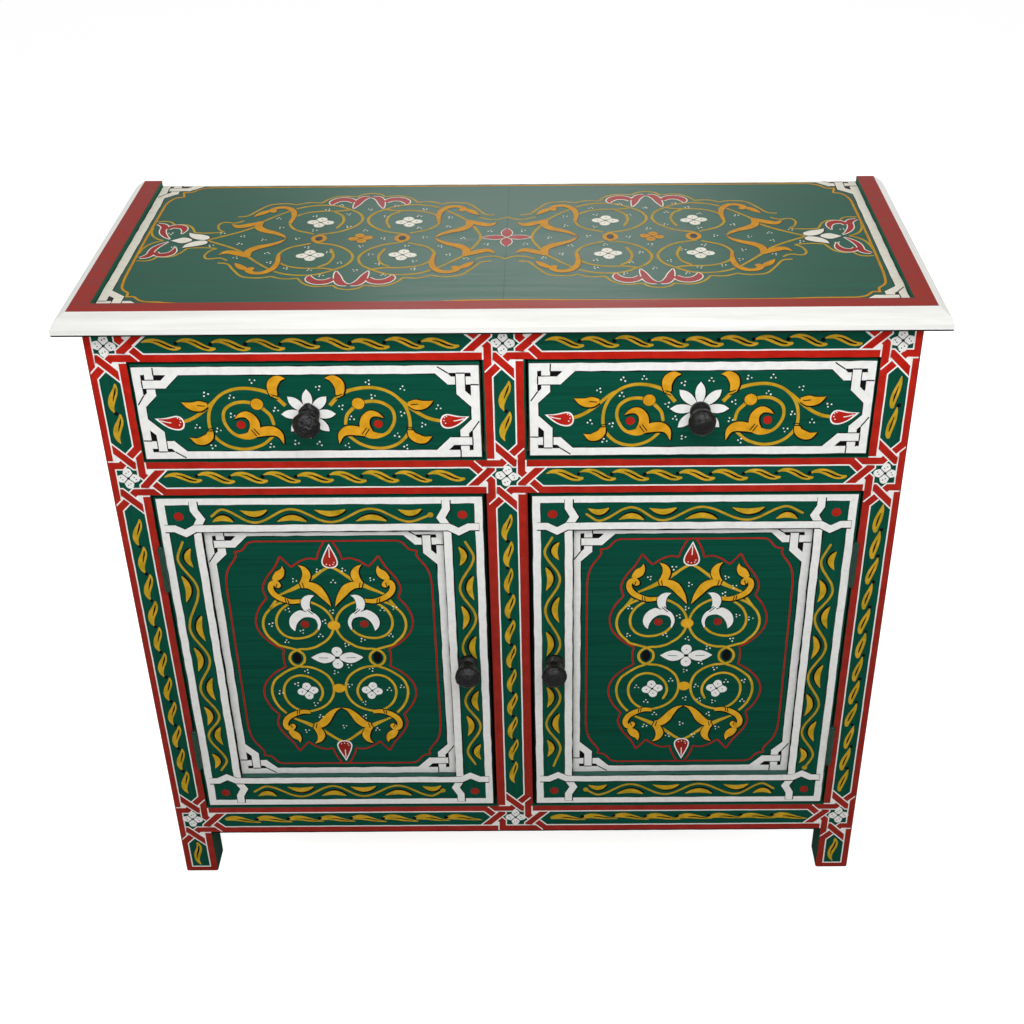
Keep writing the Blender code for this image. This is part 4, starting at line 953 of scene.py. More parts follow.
CORNER_FRONT = [
    [(-264, -100), (-263, -129), (-259.5, -152), (-250.4, -164)],
    [(-250.4, -164), (-250, -170), (-249.6, -176)],
    [(-249.6, -175), (-245, -174.4), (-241.3, -174.7)],
    [(-241.3, -174.7), (-232, -186), (-221.6, -189.6), (-213, -190)]]
BACK_LINE = 184.6
FRONT_LINE = [(-392, -190), (-376, -193), (-350, -195), (-80, -194.6), (-45, -191), (45, -190.6), (80, -192),
              (240, -192.6), (320, -192.2), (350, -190.4), (392, -190)]
TOP_DOTS = [(-110, 69.5), (-103, 37.7), (-145.5, 9.5), (-146.4, -16), (-173.6, 19.5), (-180.5, -20.5),
            (-119, -3), (-78, 0.5), (-107.7, -46.4), (-101, -76), (-144, -60), (-79, -94), (-51, 99),
            (-64.5, 76.4), (-22.7, 83), (3.6, 99), (-19, 40), (-60, 27.7), (3.6, 26.4), (28.6, -1),
            (2.7, -26), (-61.8, -29), (-35, -44), (-16.8, -78), (-51, -99.5), (2.7, -101), (72.7, 99),
            (25, 74), (67.3, 75), (106.8, 69.5), (106, 37.7), (69.5, 33.2), (78.6, 2.3), (58.2, -26),
            (16.4, -52.3), (28.6, -82.7), (71, -75), (71.8, -98.6), (100, -28.2), (111.4, -55.5),
            (133, -66.8), (126.4, -2.3), (159, 21), (156, -22.3), (-35, 115), (35.5, 112.7),
            (-35, -116.8), (37.7, -116), (-237, 19.5), (-224.5, -24.5)]


def quadrant(board, spot):
    """A quarter of a top medallion: a double spiral, a leaf scroll and the lobes round them."""
    thin_line(board, QUAD_OUTER, QUAD_WIDTH, 2, spot, "thin_ochre")
    thin_line(board, QUAD_INNER, QUAD_WIDTH, 2.3, spot, "thin_ochre")
    stroke(board, "thin_ochre", QUAD_ARC, 2.6, spot, round_end=True)
    stroke(board, "thin_ochre", QUAD_LINE, 2.9, spot)
    leaf(board, QUAD_HOOK, spot, 4, outline=1.0, round_end=True)
    leaf(board, QUAD_TIP, spot, 4.6, outline=1.0)
    leaf(board, QUAD_CRESCENT, spot, 4, outline=1.0)
    leaf(board, QUAD_LONG, spot, 4.6, outline=1.0)
    for lobe in QUAD_LOBES:
        thin_line(board, lobe, TOP_LINE, 1, spot, "thin_ochre")
    for crescent in (QUAD_RED_OUTER, QUAD_RED_INNER):
        red_leaf(board, crescent, spot)
    four_petals(board, (55.6, 54.6), 8.4, 7.2, spot, turn=0.1, dots=1)


def end_spray(board, spot):
    """The red leaves, tulip and lobes between a medallion and the end of the top; drawn for one half."""
    for lobe in END_LOBES:
        thin_line(board, lobe, TOP_LINE, 1, spot, "thin_ochre")
    thin_line(board, [(-188, 1), (-172, 12), (-151, 28), (-130, 50)], 3.6, 2, spot, "thin_ochre")
    thin_line(board, END_POINT, TOP_LINE, 1, spot, "thin_ochre")
    for crescent in (END_RED_OUTER, END_RED_INNER):
        red_leaf(board, crescent, spot)
    leaf(board, TULIP_PETAL, spot, 4, "white", round_end=True)


def paint_top():
    side = edges("top_moulding_right", X)[1] - RIM_WIDTH
    front = (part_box("top_moulding_front")[0][Y] - FACE_Y) / MM + RIM_WIDTH
    back = (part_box("top_panel")[1][Y] - FACE_Y) / MM
    trim = -side + 0.4, side - 0.4, front + 0.4, back - 0.5
    board = open_board("top", "case", TOP_Z, trim, lies_flat=True)
    knotted_frame(board, -side + 1.2, side - 1.2, front - BAND_PAST_FRONT, back + BAND_PAST_BACK, TOP_BAND)
    for medallion in (place(-MEDALLION_X, TOP_MIDDLE_Y), mirrored(place(MEDALLION_X, TOP_MIDDLE_Y))):
        for spot in (medallion, mirrored(medallion)):
            for quarter in (spot, upturned(spot)):
                quadrant(board, quarter)
            ring(board, (51.2, 0), (7.2, 10.2), spot)
        thin_line(board, MIDDLE_TIE, QUAD_WIDTH, 2, medallion, "thin_ochre")
        for half in (medallion, upturned(medallion)):
            thin_line(board, MIDDLE_LOBE, TOP_LINE, 1, half, "thin_ochre")
        spray = lambda p, medallion=medallion: medallion((p[0], p[1] + END_MIDDLE))
        for half in (spray, upturned(spray)):
            end_spray(board, half)
        stroke(board, "black", fattened(TULIP_TONGUE, 2.4), 4.4, shaded(spray))
        stroke(board, "white", TULIP_TONGUE, 5, spray)
        for piece in CORNER_BACK + CORNER_FRONT:
            thin_line(board, piece, TOP_LINE, 1, medallion, "ochre")
        thin_line(board, [(-264, 101), (-264.6, 0), (-264, -101)], TOP_LINE, 1, medallion, "ochre")
        four_petals(board, (0, 0), 7.6, 6.4, medallion, colour="ochre", dots=1, turn=0.2)
        three_dots(board, TOP_DOTS, medallion)
    reach = MEDALLION_X + 213
    whole = place(0, TOP_MIDDLE_Y)
    band(board, "ochre", [whole((-reach, BACK_LINE)), whole((reach, BACK_LINE))], TOP_LINE, 1)
    thin_line(board, FRONT_LINE, TOP_LINE, 1, whole, "ochre")
    band(board, "seam", [(0.5, front), (0.5, back)], 0.9, 0)
    for quarter in range(4):
        petal = [(0, 4, 8), (0, 13, 13), (0, 21, 11), (0, 30, 1)]
        arm = quarter_turned(place(0.5, TOP_MIDDLE_Y), quarter)
        red_leaf(board, petal, arm, edge=2)
        thin_line(board, [(0, 0), (5, 5)], 1.0, 5, arm, "white")
    return board


def paint_rim():
    """The flat red band along the top of the raised rim."""
    side = edges("top_moulding_right", X)[1] - RIM_WIDTH + RIM_FLAT / 2
    front = (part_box("top_moulding_front")[0][Y] - FACE_Y) / MM + RIM_WIDTH - RIM_FLAT / 2
    back = (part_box("top_panel")[1][Y] - FACE_Y) / MM - 0.4
    limits = -side - RIM_FLAT, side + RIM_FLAT, front - RIM_FLAT, back
    board = open_board("rim", "case", RIM_Z, limits, lies_flat=True)
    course = [(-side, back), (-side, front), (side, front), (side, back)]
    band(board, "red", course, RIM_FLAT - 0.4, 0, steady=True)
    return board


# Turning strokes into pieces

def select_only(piece):
    bpy.ops.object.select_all(action="DESELECT")
    piece.select_set(True)
    bpy.context.view_layer.objects.active = piece


def apply_modifier(piece, kind, **settings):
    modifier = piece.modifiers.new(kind.lower(), kind)
    for name, value in settings.items():
        setattr(modifier, name, value)
    select_only(piece)
    bpy.ops.object.modifier_apply(modifier=modifier.name)


def ribbon_curve(name, strokes):
    """A curve with one flat ribbon per stroke, lying in the XY plane with its coat as height."""
    curve = bpy.data.curves.new(name, "CURVE")
    curve.dimensions = "3D"
    curve.twist_mode = "Z_UP"
    curve.extrude = 0.5
    curve.resolution_u = 1
    for line, level, closed in strokes:
        height = FIRST_COAT + COAT * level + hand.uniform(0, COAT * 0.2)
        spline = curve.splines.new("POLY")
        spline.points.add(len(line) - 1)
        spline.use_cyclic_u = closed
        for point, (u, v, width) in zip(spline.points, line):
            point.co = (u * MM, v * MM, height, 1)
            point.tilt = math.pi / 2
            point.radius = width * MM
    return curve


def trim_to(limits):
    """Cuts the flat piece in edit mode along the lowest and highest u and v."""
    low_u, high_u, low_v, high_v = limits
    cuts = ((low_u, 0), (-1, 0)), ((high_u, 0), (1, 0)), ((0, low_v), (0, -1)), ((0, high_v), (0, 1))
    for (u, v), (out_u, out_v) in cuts:
        bpy.ops.mesh.select_all(action="SELECT")
        bpy.ops.mesh.bisect(plane_co=(u * MM, v * MM, 0), plane_no=(out_u, out_v, 0), clear_outer=True)


def finish_board(board, finishes):
    """Makes one closed mesh piece of each colour on a board and lets it ride on the board's body."""
    for colour, strokes in board["strokes"].items():
        name = f"{board['name']}_{colour}_brushwork"
        piece = bpy.data.objects.new(name, ribbon_curve(name, strokes))
        bpy.context.scene.collection.objects.link(piece)
        select_only(piece)
        bpy.ops.object.convert(target="MESH")
        bpy.ops.object.shade_flat()
        piece = bpy.context.object
        bpy.ops.object.mode_set(mode="EDIT")
        bpy.ops.mesh.select_all(action="SELECT")
        bpy.ops.mesh.remove_doubles(threshold=1e-6)
        trim_to(board["trim"])
        bpy.ops.object.mode_set(mode="OBJECT")
        apply_modifier(piece, "SOLIDIFY", thickness=PAINT_BODY, offset=-1.0)
        if board["lies_flat"]:
            piece.location = (0, FACE_Y, board["plane"])
        else:
            piece.rotation_euler = (math.pi / 2, 0, 0)
            piece.location = (0, board["plane"], 0)
        bpy.ops.object.transform_apply(location=True, rotation=True, scale=True)
        piece.name = name
        piece.data.materials.clear()
        piece.data.materials.append(finishes.get(f"{board['name']}_{colour}", finishes[colour]))
        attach(piece, board["body"])


# Finishes

def linear(*srgb):
    """A colour written as 0 to 255 sRGB, as the linear values that the shader takes."""
    values = [c / 255 for c in srgb]
    return tuple(c / 12.92 if c <= 0.04045 else ((c + 0.055) / 1.055) ** 2.4 for c in values) + (1.0,)


def new_finish(name):
    material = bpy.data.materials.new(name)
    material.use_nodes = True
    tree = material.node_tree
    return material, tree, tree.nodes["Principled BSDF"]


def add_node(tree, kind, **inputs):
    node = tree.nodes.new(kind)
    for name, value in inputs.items():
        node.inputs[name.replace("_", " ")].default_value = value
    return node


def noise(tree, stretch, detail=3.0, turn=(0, 0, 0)):
    """Noise on the piece's own coordinates, stretched by its scale along each axis."""
    where = add_node(tree, "ShaderNodeTexCoord")
    mapping = add_node(tree, "ShaderNodeMapping", Scale=stretch, Rotation=turn)
    tree.links.new(where.outputs["Object"], mapping.inputs["Vector"])
    texture = add_node(tree, "ShaderNodeTexNoise", Scale=1.0, Detail=detail, Roughness=0.55)
    tree.links.new(mapping.outputs["Vector"], texture.inputs["Vector"])
    return texture.outputs["Fac"]


def ramp(tree, source, stops):
    """Colours along a noise; each stop is a position and a colour written as 0 to 255 sRGB."""
    node = tree.nodes.new("ShaderNodeValToRGB")
    elements = node.color_ramp.elements
    while len(elements) < len(stops):
        elements.new(0.5)
    for element, (position, colour) in zip(elements, stops):
        element.position = position
        element.color = linear(*colour)
    tree.links.new(source, node.inputs["Fac"])
    return node.outputs["Color"]


def rough_between(tree, shader, source, low, high):
    node = add_node(tree, "ShaderNodeMapRange", To_Min=low, To_Max=high, From_Min=0.3, From_Max=0.7)
    tree.links.new(source, node.inputs["Value"])
    tree.links.new(node.outputs["Result"], shader.inputs["Roughness"])


def bumps(tree, shader, source, strength, distance):
    node = add_node(tree, "ShaderNodeBump", Strength=strength, Distance=distance)
    tree.links.new(source, node.inputs["Height"])
    tree.links.new(node.outputs["Normal"], shader.inputs["Normal"])


def coordinate(tree, axis, unsigned=False):
    """One of the piece's own coordinates, in metres, without its sign if asked."""
    where = add_node(tree, "ShaderNodeTexCoord")
    parts = add_node(tree, "ShaderNodeSeparateXYZ")
    tree.links.new(where.outputs["Object"], parts.inputs["Vector"])
    if not unsigned:
        return parts.outputs[axis]
    size = add_node(tree, "ShaderNodeMath")
    size.operation = "ABSOLUTE"
    tree.links.new(parts.outputs[axis], size.inputs[0])
    return size.outputs["Value"]


def compare(tree, value, kind, limit):
    node = add_node(tree, "ShaderNodeMath")
    node.operation = kind
    tree.links.new(value, node.inputs[0])
    node.inputs[1].default_value = limit
    return node.outputs["Value"]


def both(tree, first, second):
    node = add_node(tree, "ShaderNodeMath")
    node.operation = "MULTIPLY"
    tree.links.new(first, node.inputs[0])
    tree.links.new(second, node.inputs[1])
    return node.outputs["Value"]


def inside_the_rim(tree):
    """The wall of the raised rim that faces the field of the top."""
    beside = compare(tree, coordinate(tree, X, True), "LESS_THAN", RIM_INSIDE_X)
    behind = compare(tree, coordinate(tree, Y), "GREATER_THAN", FACE_Y + RIM_INSIDE_Y)
    return both(tree, beside, behind)


def front_edge(tree, kind, limit):
    """A board's eased front edge, where the place across, in millimetres, passes a limit."""
    across = compare(tree, coordinate(tree, X, True), kind, limit * MM)
    in_front = compare(tree, coordinate(tree, Y), "LESS_THAN", FACE_Y + FRONT_EASE)
    return both(tree, across, in_front)


def post_edge(tree):
    """The outer edge of a front post, where the red band runs round it."""
    return front_edge(tree, "GREATER_THAN", FRAME_REACH - POST_RED)


def muntin_edge(tree):
    """The edges of the middle post, where the red bands run round them."""
    return front_edge(tree, "GREATER_THAN", MUNTIN_REACH - MUNTIN_RED)


def painted_gap_shade_beside_the_muntin(tree):
    """The edge of a door at the middle post, painted black as painted shade for the dark gap there."""
    return front_edge(tree, "LESS_THAN", DOOR_INNER_EDGE + DOOR_GAP_SHADE)


def painted_shade_toward_floor(tree):
    """Grows from the drawers down to the middle of the doors: painted shade, the red darker towards the
    bottom as the light falls off.
    """
    node = add_node(tree, "ShaderNodeMapRange", From_Min=0.8, From_Max=0.42, To_Min=0.0, To_Max=1.0)
    tree.links.new(coordinate(tree, Z), node.inputs["Value"])
    return node.outputs["Result"]


def painted_highlight_on_the_ledge(tree):
    """The upper edge of a door's bottom rail, below the panel, painted a lighter green as a painted highlight
    for its sheen and the panel's white band reflected in it.
    """
    return compare(tree, coordinate(tree, Z), "GREATER_THAN", (LEDGE_Z - 0.5) * MM)


def painted_shadow_under_the_lip(tree):
    """The lowest edge of the white moulding, painted black: a painted shadow line under the lip."""
    return compare(tree, coordinate(tree, Z), "LESS_THAN", (LIP_Z + LIP_SHADOW_LINE) * MM)


def streaked(tree, streaks, shades):
    dark, plain, light = shades
    return ramp(tree, streaks, [(0.28, dark), (0.5, plain), (0.74, light)])


def brushed_paint(name, shades, stretch, roughness=(0.5, 0.7), gloss=0.06, bump=0.25, others=()):
    """Hand-brushed paint: faint streaks along the brush, uneven gloss and fine ridges.

    others holds pairs of other shades and the function that tells where they show.
    """
    material, tree, shader = new_finish(name)
    streaks = noise(tree, stretch, 5.0)
    colour = streaked(tree, streaks, shades)
    for other_shades, mask in others:
        mix = tree.nodes.new("ShaderNodeMix")
        mix.data_type = "RGBA"
        tree.links.new(mask(tree), mix.inputs[0])
        tree.links.new(colour, mix.inputs[6])
        tree.links.new(streaked(tree, streaks, other_shades), mix.inputs[7])
        colour = mix.outputs[2]
    tree.links.new(colour, shader.inputs["Base Color"])
    shader.inputs["Specular IOR Level"].default_value = gloss
    rough_between(tree, shader, streaks, *roughness)
    ridges = noise(tree, tuple(4 * s for s in stretch), 4.0)
    bumps(tree, shader, ridges, bump, 0.0004)
    return material


# How close the brush marks or grain lines lie along each axis
ALONG_X = (7, 60, 330)
ALONG_Z = (330, 60, 7)
ALONG_TOP = (6, 110, 60)
DABBED = (60, 60, 60)
LEAF_GRAIN = (90, 90, 90)
LINE_GRAIN = (70, 70, 70)
FINE_GRAIN = (140, 140, 140)
ALONG_RIM = (6, 90, 90)
ALONG_LIP = (7, 120, 180)
ALONG_SIDE_LIP = (120, 7, 180)
PINE_ACROSS = (4, 260, 260)
PINE_DEEP = (260, 4, 260)
# Dark, plain and light shade of each paint
GREEN = (3, 65, 50), (6, 74, 57), (10, 82, 64)
GREEN_TOP = (3, 67, 51), (6, 77, 58), (11, 86, 67)
SEAM_GREEN = (2, 44, 32), (4, 52, 38), (8, 60, 45)
RED = (170, 25, 14), (186, 31, 18), (197, 40, 25)
# The red darkened by painted shade, used low on the front and on the edges of the front posts and middle post
RED_IN_PAINTED_SHADE = (138, 36, 27), (151, 41, 31), (163, 48, 37)
# The bottom rail's red, darker: painted shade
BOTTOM_RAIL_PAINTED_SHADE_RED = (142, 38, 31), (156, 43, 36), (169, 50, 42)
DARK_RED = (152, 26, 22), (170, 31, 26), (182, 38, 32)
RIM_RED = (128, 28, 17), (140, 31, 19), (151, 38, 25)
TOP_RED = (138, 20, 18), (152, 25, 22), (164, 32, 28)
OCHRE = (196, 138, 20), (216, 156, 31), (230, 169, 48)
THIN_OCHRE = (170, 134, 22), (192, 151, 32), (210, 163, 46)
FRAME_OCHRE = (164, 138, 26), (197, 158, 36), (222, 169, 50)
VINE_OCHRE = (157, 131, 28), (181, 147, 36), (202, 159, 48)
PANEL_OCHRE = (207, 151, 25), (226, 169, 39), (238, 181, 57)
PANEL_THIN_OCHRE = (180, 145, 27), (203, 163, 39), (220, 174, 53)
OCHRE_TOP = (181, 121, 10), (200, 139, 16), (212, 151, 28)
THIN_OCHRE_TOP = (156, 124, 20), (181, 145, 28), (200, 158, 40)
WHITE = (232, 232, 229), (240, 240, 237), (246, 246, 243)
MOULDING_WHITE = (224, 224, 219), (234, 234, 230), (240, 240, 237)
CREAM = (222, 218, 202), (232, 228, 213), (238, 235, 222)
BLACK = (8, 7, 9), (12, 11, 13), (20, 18, 20)
SHEEN = {"gloss": 0.06, "roughness": (0.36, 0.5)}       # the top catches the light
DULL = {"gloss": 0.034, "roughness": (0.42, 0.56)}       # its ochre less so
FIELD = {"gloss": 0.06, "roughness": (0.3, 0.42)}        # its green field most
# A lighter green on the ledges: a painted highlight
LEDGE_PAINTED_HIGHLIGHT_GREEN = (44, 84, 74), (52, 95, 84), (62, 105, 94)
LEDGE_Z = edges("left_door_bottom_rail", Z)[1]
LIP_Z = edges("top_moulding_front", Z)[0]
# How far up from the lip's lower edge the painted shadow line reaches, in millimetres
LIP_SHADOW_LINE = 2.6
MUNTIN_REACH = edges("muntin_lower", X)[1]
DOOR_INNER_EDGE = edges("right_door_knob_stile", X)[0]
FRONT_EASE = 0.0022     # how far back the eased front edges reach, in metres
POST_RED = 6.4          # how far in from its edge a front post is red
MUNTIN_RED = 4.0        # and the middle post
# The black edge of a door beside the middle post is painted shade for the gap
DOOR_GAP_SHADE = 1.8        # how far in from its edge a door is black
RIM_INSIDE_X = 0.4612
RIM_INSIDE_Y = 0.0128


def bare_pine(name, stretch):
    """Planed pine: fine grain lines along the board, broad warm bands and a few darker ones."""
    material, tree, shader = new_finish(name)
    grain = noise(tree, stretch, 9.0)
    bands = noise(tree, tuple(0.12 * s for s in stretch), 2.0)
    lines = ramp(tree, grain, [(0.34, (178, 134, 88)), (0.5, (203, 162, 114)), (0.66, (217, 180, 134))])
    warmth = ramp(tree, bands, [(0.35, (236, 222, 204)), (0.55, (255, 255, 255)), (0.75, (246, 236, 220))])
    mix = tree.nodes.new("ShaderNodeMix")
    mix.data_type = "RGBA"
    mix.blend_type = "MULTIPLY"
    mix.inputs[0].default_value = 1.0
    tree.links.new(lines, mix.inputs[6])
    tree.links.new(warmth, mix.inputs[7])
    tree.links.new(mix.outputs[2], shader.inputs["Base Color"])
    shader.inputs["Specular IOR Level"].default_value = 0.25
    rough_between(tree, shader, grain, 0.55, 0.75)
    bumps(tree, shader, grain, 0.2, 0.0003)
    return material


def forged_iron(name):
    """Blackened iron with hammer marks."""
    material, tree, shader = new_finish(name)
    patches = noise(tree, (120, 120, 120), 4.0)
    colour = ramp(tree, patches, [(0.3, (11, 11, 12)), (0.55, (18, 17, 19)), (0.8, (32, 31, 32))])
    tree.links.new(colour, shader.inputs["Base Color"])
    shader.inputs["Metallic"].default_value = 0.35
    shader.inputs["Specular IOR Level"].default_value = 0.45
    rough_between(tree, shader, patches, 0.3, 0.5)
    bumps(tree, shader, noise(tree, (260, 260, 260), 3.0), 0.5, 0.0008)
    return material


def painted_hinge(name):
    """Hinge steel with green paint that has worn off in small spots."""
    material, tree, shader = new_finish(name)
    wear = noise(tree, (400, 400, 260), 4.0)
    colour = ramp(tree, wear, [(0.3, (6, 50, 37)), (0.62, (10, 64, 48)), (0.84, (64, 84, 76))])
    tree.links.new(colour, shader.inputs["Base Color"])
    rough_between(tree, shader, wear, 0.4, 0.6)
    bumps(tree, shader, wear, 0.25, 0.0003)
    return material


def make_finishes():
    frame_ochre = brushed_paint("ochre_paint_frame", FRAME_OCHRE, LEAF_GRAIN)
    vine_ochre = brushed_paint("ochre_paint_vines", VINE_OCHRE, LINE_GRAIN)
    # The rim's inner wall is painted the top's green; the black along the lip's lower edge is painted shadow
    rim_green_and_lip_shadow = (GREEN_TOP, inside_the_rim), (BLACK, painted_shadow_under_the_lip)
    panel_ochre = brushed_paint("ochre_paint_panels", PANEL_OCHRE, LEAF_GRAIN)
    panel_thin_ochre = brushed_paint("thin_ochre_paint_panels", PANEL_THIN_OCHRE, LINE_GRAIN)
    return {
        "frame_ochre": frame_ochre,
        "left_door_ochre": frame_ochre,
        "right_door_ochre": frame_ochre,
        "left_door_thin_ochre": vine_ochre,
        "right_door_thin_ochre": vine_ochre,
        "left_panel_ochre": panel_ochre,
        "right_panel_ochre": panel_ochre,
        "left_panel_thin_ochre": panel_thin_ochre,
        "right_panel_thin_ochre": panel_thin_ochre,
        # The red turns darker towards the bottom: painted shade
        "red": brushed_paint("red_paint", RED, DABBED, others=[(RED_IN_PAINTED_SHADE, painted_shade_toward_floor)]),
        # The bottom rail's darker red: painted shade
        "deep_red": brushed_paint("deep_red_paint", BOTTOM_RAIL_PAINTED_SHADE_RED, DABBED),
        "dark_red": brushed_paint("dark_red_paint", DARK_RED, DABBED),
        "ochre": brushed_paint("ochre_paint", OCHRE, LEAF_GRAIN),
        "thin_ochre": brushed_paint("thin_ochre_paint", THIN_OCHRE, LINE_GRAIN),
        "white": brushed_paint("white_line_paint", WHITE, FINE_GRAIN),
        "black": brushed_paint("black_paint", BLACK, DABBED),
        "top_red": brushed_paint("red_paint_top", TOP_RED, DABBED, **SHEEN),
        "top_ochre": brushed_paint("ochre_paint_top", OCHRE_TOP, LEAF_GRAIN, **DULL),
        "top_thin_ochre": brushed_paint("thin_ochre_paint_top", THIN_OCHRE_TOP, LINE_GRAIN, **DULL),
        "top_white": brushed_paint("white_paint_top", CREAM, FINE_GRAIN, **SHEEN),
        "top_black": brushed_paint("black_paint_top", BLACK, DABBED, **SHEEN),
        "seam": brushed_paint("dark_joint", SEAM_GREEN, ALONG_TOP, **SHEEN),
        "rim_red": brushed_paint("red_paint_rim", RIM_RED, ALONG_RIM, **SHEEN),
        "green_x": brushed_paint("green_paint_rails", GREEN, ALONG_X),
        "green_z": brushed_paint("green_paint_posts", GREEN, ALONG_Z),
        # The red round the edges of the front posts and the middle post is the red darkened by painted shade
        "front_post": brushed_paint("green_paint_front_posts", GREEN, ALONG_Z, others=[(RED_IN_PAINTED_SHADE, post_edge)]),
        "muntin": brushed_paint("green_paint_muntins", GREEN, ALONG_Z, others=[(RED_IN_PAINTED_SHADE, muntin_edge)]),
        # The black down the knob stile's edge beside the middle post is painted shade
        "knob_stile": brushed_paint("green_paint_knob_stiles", GREEN, ALONG_Z,
                                    others=[(BLACK, painted_gap_shade_beside_the_muntin)]),
        # The ledges get a lighter green: painted highlight
        "ledge_with_painted_highlight": brushed_paint("green_paint_ledges_with_painted_highlight", GREEN, ALONG_X, others=[(LEDGE_PAINTED_HIGHLIGHT_GREEN, painted_highlight_on_the_ledge)]),
        "green_top": brushed_paint("green_paint_top", GREEN_TOP, ALONG_TOP, **FIELD),
        "moulding": brushed_paint("white_moulding_paint", MOULDING_WHITE, ALONG_LIP, bump=0.35,
                                  others=rim_green_and_lip_shadow),
        "side_moulding": brushed_paint("white_side_moulding_paint", MOULDING_WHITE, ALONG_SIDE_LIP, bump=0.35,
                                       others=rim_green_and_lip_shadow),
        "pine_x": bare_pine("bare_pine_across", PINE_ACROSS),
        "pine_y": bare_pine("bare_pine_deep", PINE_DEEP),
        "iron": forged_iron("forged_iron"),
        "hinge": painted_hinge("painted_hinge"),
    }


def finish_of(name):
    """Which finish a CAD node gets, by its name."""
    if "hinge_frame_leaf" in name or "hinge_door_leaf" in name or name.endswith("_pin"):
        return "hinge"
    if "knob" in name and not name.endswith("knob_stile"):
        return "iron"
    if name.endswith("door_bottom_rail"):
        return "ledge_with_painted_highlight"
    if name == "top_panel":
        return "green_top"
    if name.startswith("top_moulding"):
        return "moulding" if name == "top_moulding_front" else "side_moulding"
    if "runner" in name or "_drawer_" in name and name.endswith("_side"):
        return "pine_y"
    # The door stop is black: painted shade in the gap beside the middle post
    if name == "door_stop":
        return "black"
    if name == "muntin_lower":
        return "muntin"
    if name.endswith("knob_stile"):
        return "knob_stile"
    if name in ("back_panel", "case_floor") or "_drawer_" in name and not name.endswith("_front"):
        return "pine_x"
    if name.startswith("post_front"):
        return "front_post"
    if name.startswith("post") or "stile" in name or "muntin" in name or name.startswith("side_panel"):
        return "green_z"
    return "green_x"


def hammer(node, depth):
    """Lumps on a knob's surface, as left by the hammer."""
    lumps = bpy.data.textures.new(node.name + "_lumps", "CLOUDS")
    lumps.noise_scale = 0.007
    lumps.noise_depth = 2
    finer = node.modifiers.new("finer", "SUBSURF")
    finer.subdivision_type = "SIMPLE"
    finer.levels = finer.render_levels = 2
    dents = node.modifiers.new("dents", "DISPLACE")
    dents.texture = lumps
    dents.texture_coords = "LOCAL"
    dents.mid_level = 0.5
    dents.strength = depth


KNOB_DENTS = {"left_drawer_knob": 0.0042, "right_drawer_knob": 0.0014,
              "left_door_knob": 0.002, "right_door_knob": 0.002}


def finish_frame(finishes):
    for name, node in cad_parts.items():
        material = finishes[finish_of(name)]
        node.data.materials.clear()
        node.data.materials.append(material)
    for name, depth in KNOB_DENTS.items():
        hammer(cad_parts[name], depth)


# Stage, light and camera

def make_floor():
    """A pale floor that looks white to the camera and keeps the dresser's shadow."""
    bpy.ops.object.select_all(action="DESELECT")
    bpy.ops.mesh.primitive_plane_add(size=30, location=(0, 0, 0))
    floor = bpy.context.object
    floor.name = "studio_floor"
    material, tree, shader = new_finish("studio_floor")
    shader.inputs["Base Color"].default_value = (0.55, 0.55, 0.55, 1)
    shader.inputs["Roughness"].default_value = 0.9
    shader.inputs["Specular IOR Level"].default_value = 0.0
    seen = add_node(tree, "ShaderNodeBsdfPrincipled", Base_Color=(0.5, 0.5, 0.5, 1), Roughness=0.9,
                    Specular_IOR_Level=0.0, Emission_Color=(1, 1, 1, 1), Emission_Strength=0.86)
    path = add_node(tree, "ShaderNodeLightPath")
    mix = add_node(tree, "ShaderNodeMixShader")
    tree.links.new(path.outputs["Is Camera Ray"], mix.inputs["Fac"])
    tree.links.new(shader.outputs["BSDF"], mix.inputs[1])
    tree.links.new(seen.outputs["BSDF"], mix.inputs[2])
    tree.links.new(mix.outputs["Shader"], tree.nodes["Material Output"].inputs["Surface"])
    floor.data.materials.append(material)


AMBIENT = 0.24
KEY_POWER = 31.0
FRONT_POWER = 0.72
GLARE_POWER = 15.5
SIDE_POWER = 20.0
BACK_POWER = 22.0


def add_softbox(name, where, aim, size, power, spread=180):
    lamp = bpy.data.lights.new(name, "AREA")
    lamp.shape = "RECTANGLE"
    lamp.size, lamp.size_y = size
    lamp.energy = power
    lamp.spread = math.radians(spread)
    softbox = bpy.data.objects.new(name, lamp)
    bpy.context.scene.collection.objects.link(softbox)
    softbox.location = where
    direction = Vector(aim) - Vector(where)
    softbox.rotation_euler = direction.to_track_quat("-Z", "Y").to_euler()


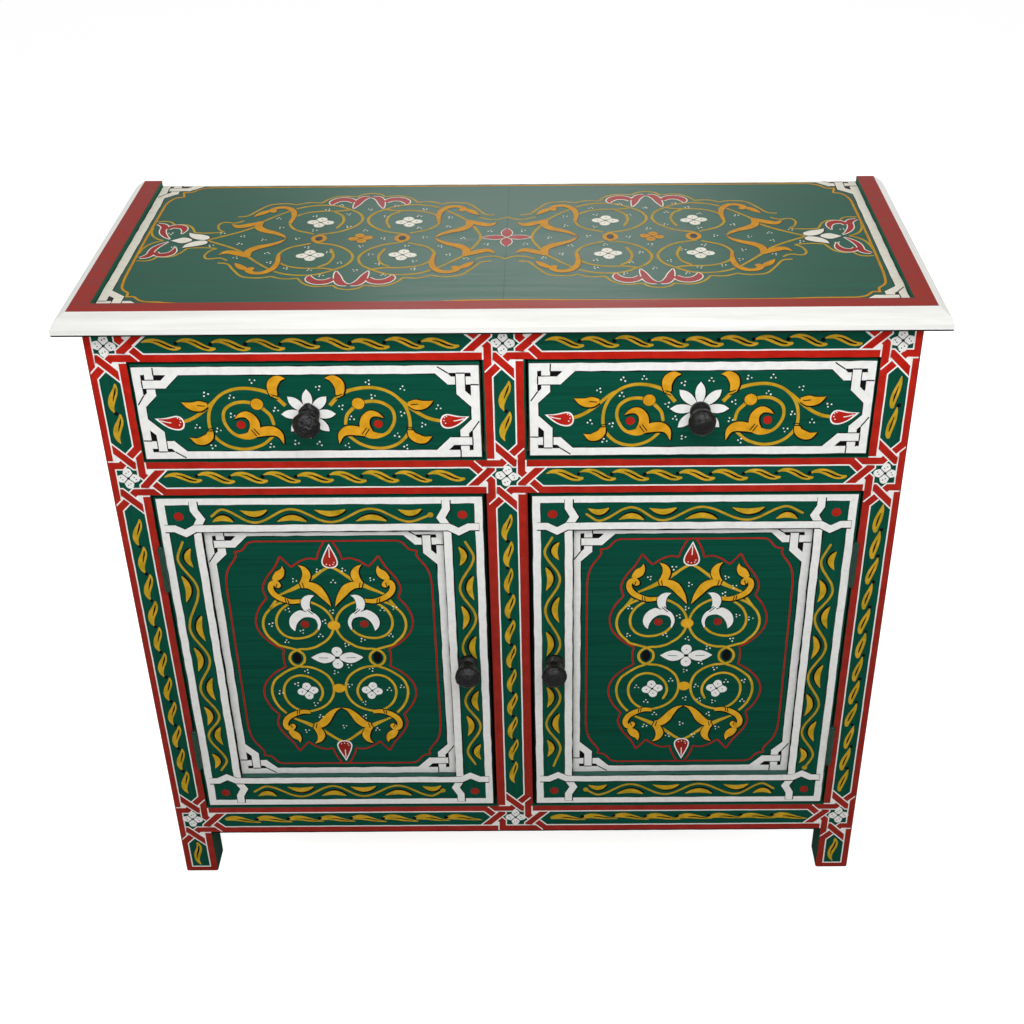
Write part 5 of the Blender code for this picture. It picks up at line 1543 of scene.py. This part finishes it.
def make_light():
    world = bpy.data.worlds.new("studio")
    bpy.context.scene.world = world
    world.use_nodes = True
    tree = world.node_tree
    tree.nodes.clear()
    path = tree.nodes.new("ShaderNodeLightPath")
    seen = path.outputs["Is Camera Ray"]
    for ray in ("Is Glossy Ray", "Is Transmission Ray"):
        either = add_node(tree, "ShaderNodeMath")
        either.operation = "MAXIMUM"
        tree.links.new(seen, either.inputs[0])
        tree.links.new(path.outputs[ray], either.inputs[1])
        seen = either.outputs[0]
    soft = add_node(tree, "ShaderNodeBackground", Color=(1, 1, 1, 1), Strength=AMBIENT)
    white = add_node(tree, "ShaderNodeBackground", Color=(1, 1, 1, 1), Strength=1.0)
    mix = tree.nodes.new("ShaderNodeMixShader")
    tree.links.new(seen, mix.inputs["Fac"])
    tree.links.new(soft.outputs[0], mix.inputs[1])
    tree.links.new(white.outputs[0], mix.inputs[2])
    output = tree.nodes.new("ShaderNodeOutputWorld")
    tree.links.new(mix.outputs[0], output.inputs["Surface"])
    add_softbox("key", (0.1, -1.6, 2.05), (0, -0.1, 0.6), (1.6, 1.2), KEY_POWER)
    add_softbox("front_fill", (0.05, -1.7, 1.05), (0, FACE_Y, 0.88), (1.4, 0.3), FRONT_POWER, spread=45)
    add_softbox("glare", (0.0, 2.0, 2.05), (0, 0, TOP_Z), (0.9, 0.8), GLARE_POWER)
    for name, side in (("left_fill", -1), ("right_fill", 1)):
        add_softbox(name, (side * 2.4, 0.7, 1.1), (side * 0.5, 0.2, 0.45), (1.2, 1.0), SIDE_POWER)
    add_softbox("back_fill", (0, 2.8, 0.7), (0, 0.4, 0.45), (1.6, 0.6), BACK_POWER)


# The photograph's viewpoint, on a square picture
CAMERA_PLACE = 0.0539, FACE_Y - 1.6189, 1.5587
CAMERA_PITCH = math.radians(-35.947)
CAMERA_YAW = math.radians(-0.097)
CAMERA_ROLL = math.radians(-0.435)
CAMERA_LENS = 54.47
CAMERA_SHIFT = -0.0378, 0.1361


def make_camera():
    data = bpy.data.cameras.new("camera")
    data.lens = CAMERA_LENS
    data.sensor_width = 36.0
    data.shift_x, data.shift_y = CAMERA_SHIFT
    data.clip_end = 100
    camera = bpy.data.objects.new("camera", data)
    bpy.context.scene.collection.objects.link(camera)
    upright = Matrix.Rotation(math.pi / 2 + CAMERA_PITCH, 4, "X")
    turn = Matrix.Rotation(-CAMERA_YAW, 4, "Z")
    roll = Matrix.Rotation(CAMERA_ROLL, 4, "Z")
    camera.matrix_world = Matrix.Translation(CAMERA_PLACE) @ turn @ upright @ roll
    bpy.context.scene.camera = camera


def dress():
    finishes = make_finishes()
    finish_frame(finishes)
    boards = [paint_frame(), paint_top(), paint_rim()]
    for side, lean in (("left", 0.02), ("right", 0.0)):
        boards += [paint_drawer(side), paint_door_frame(side), paint_panel(side, lean)]
    for board in boards:
        finish_board(board, finishes)


dress()
make_floor()
make_light()
make_camera()
bpy.context.scene.view_settings.view_transform = "Standard"
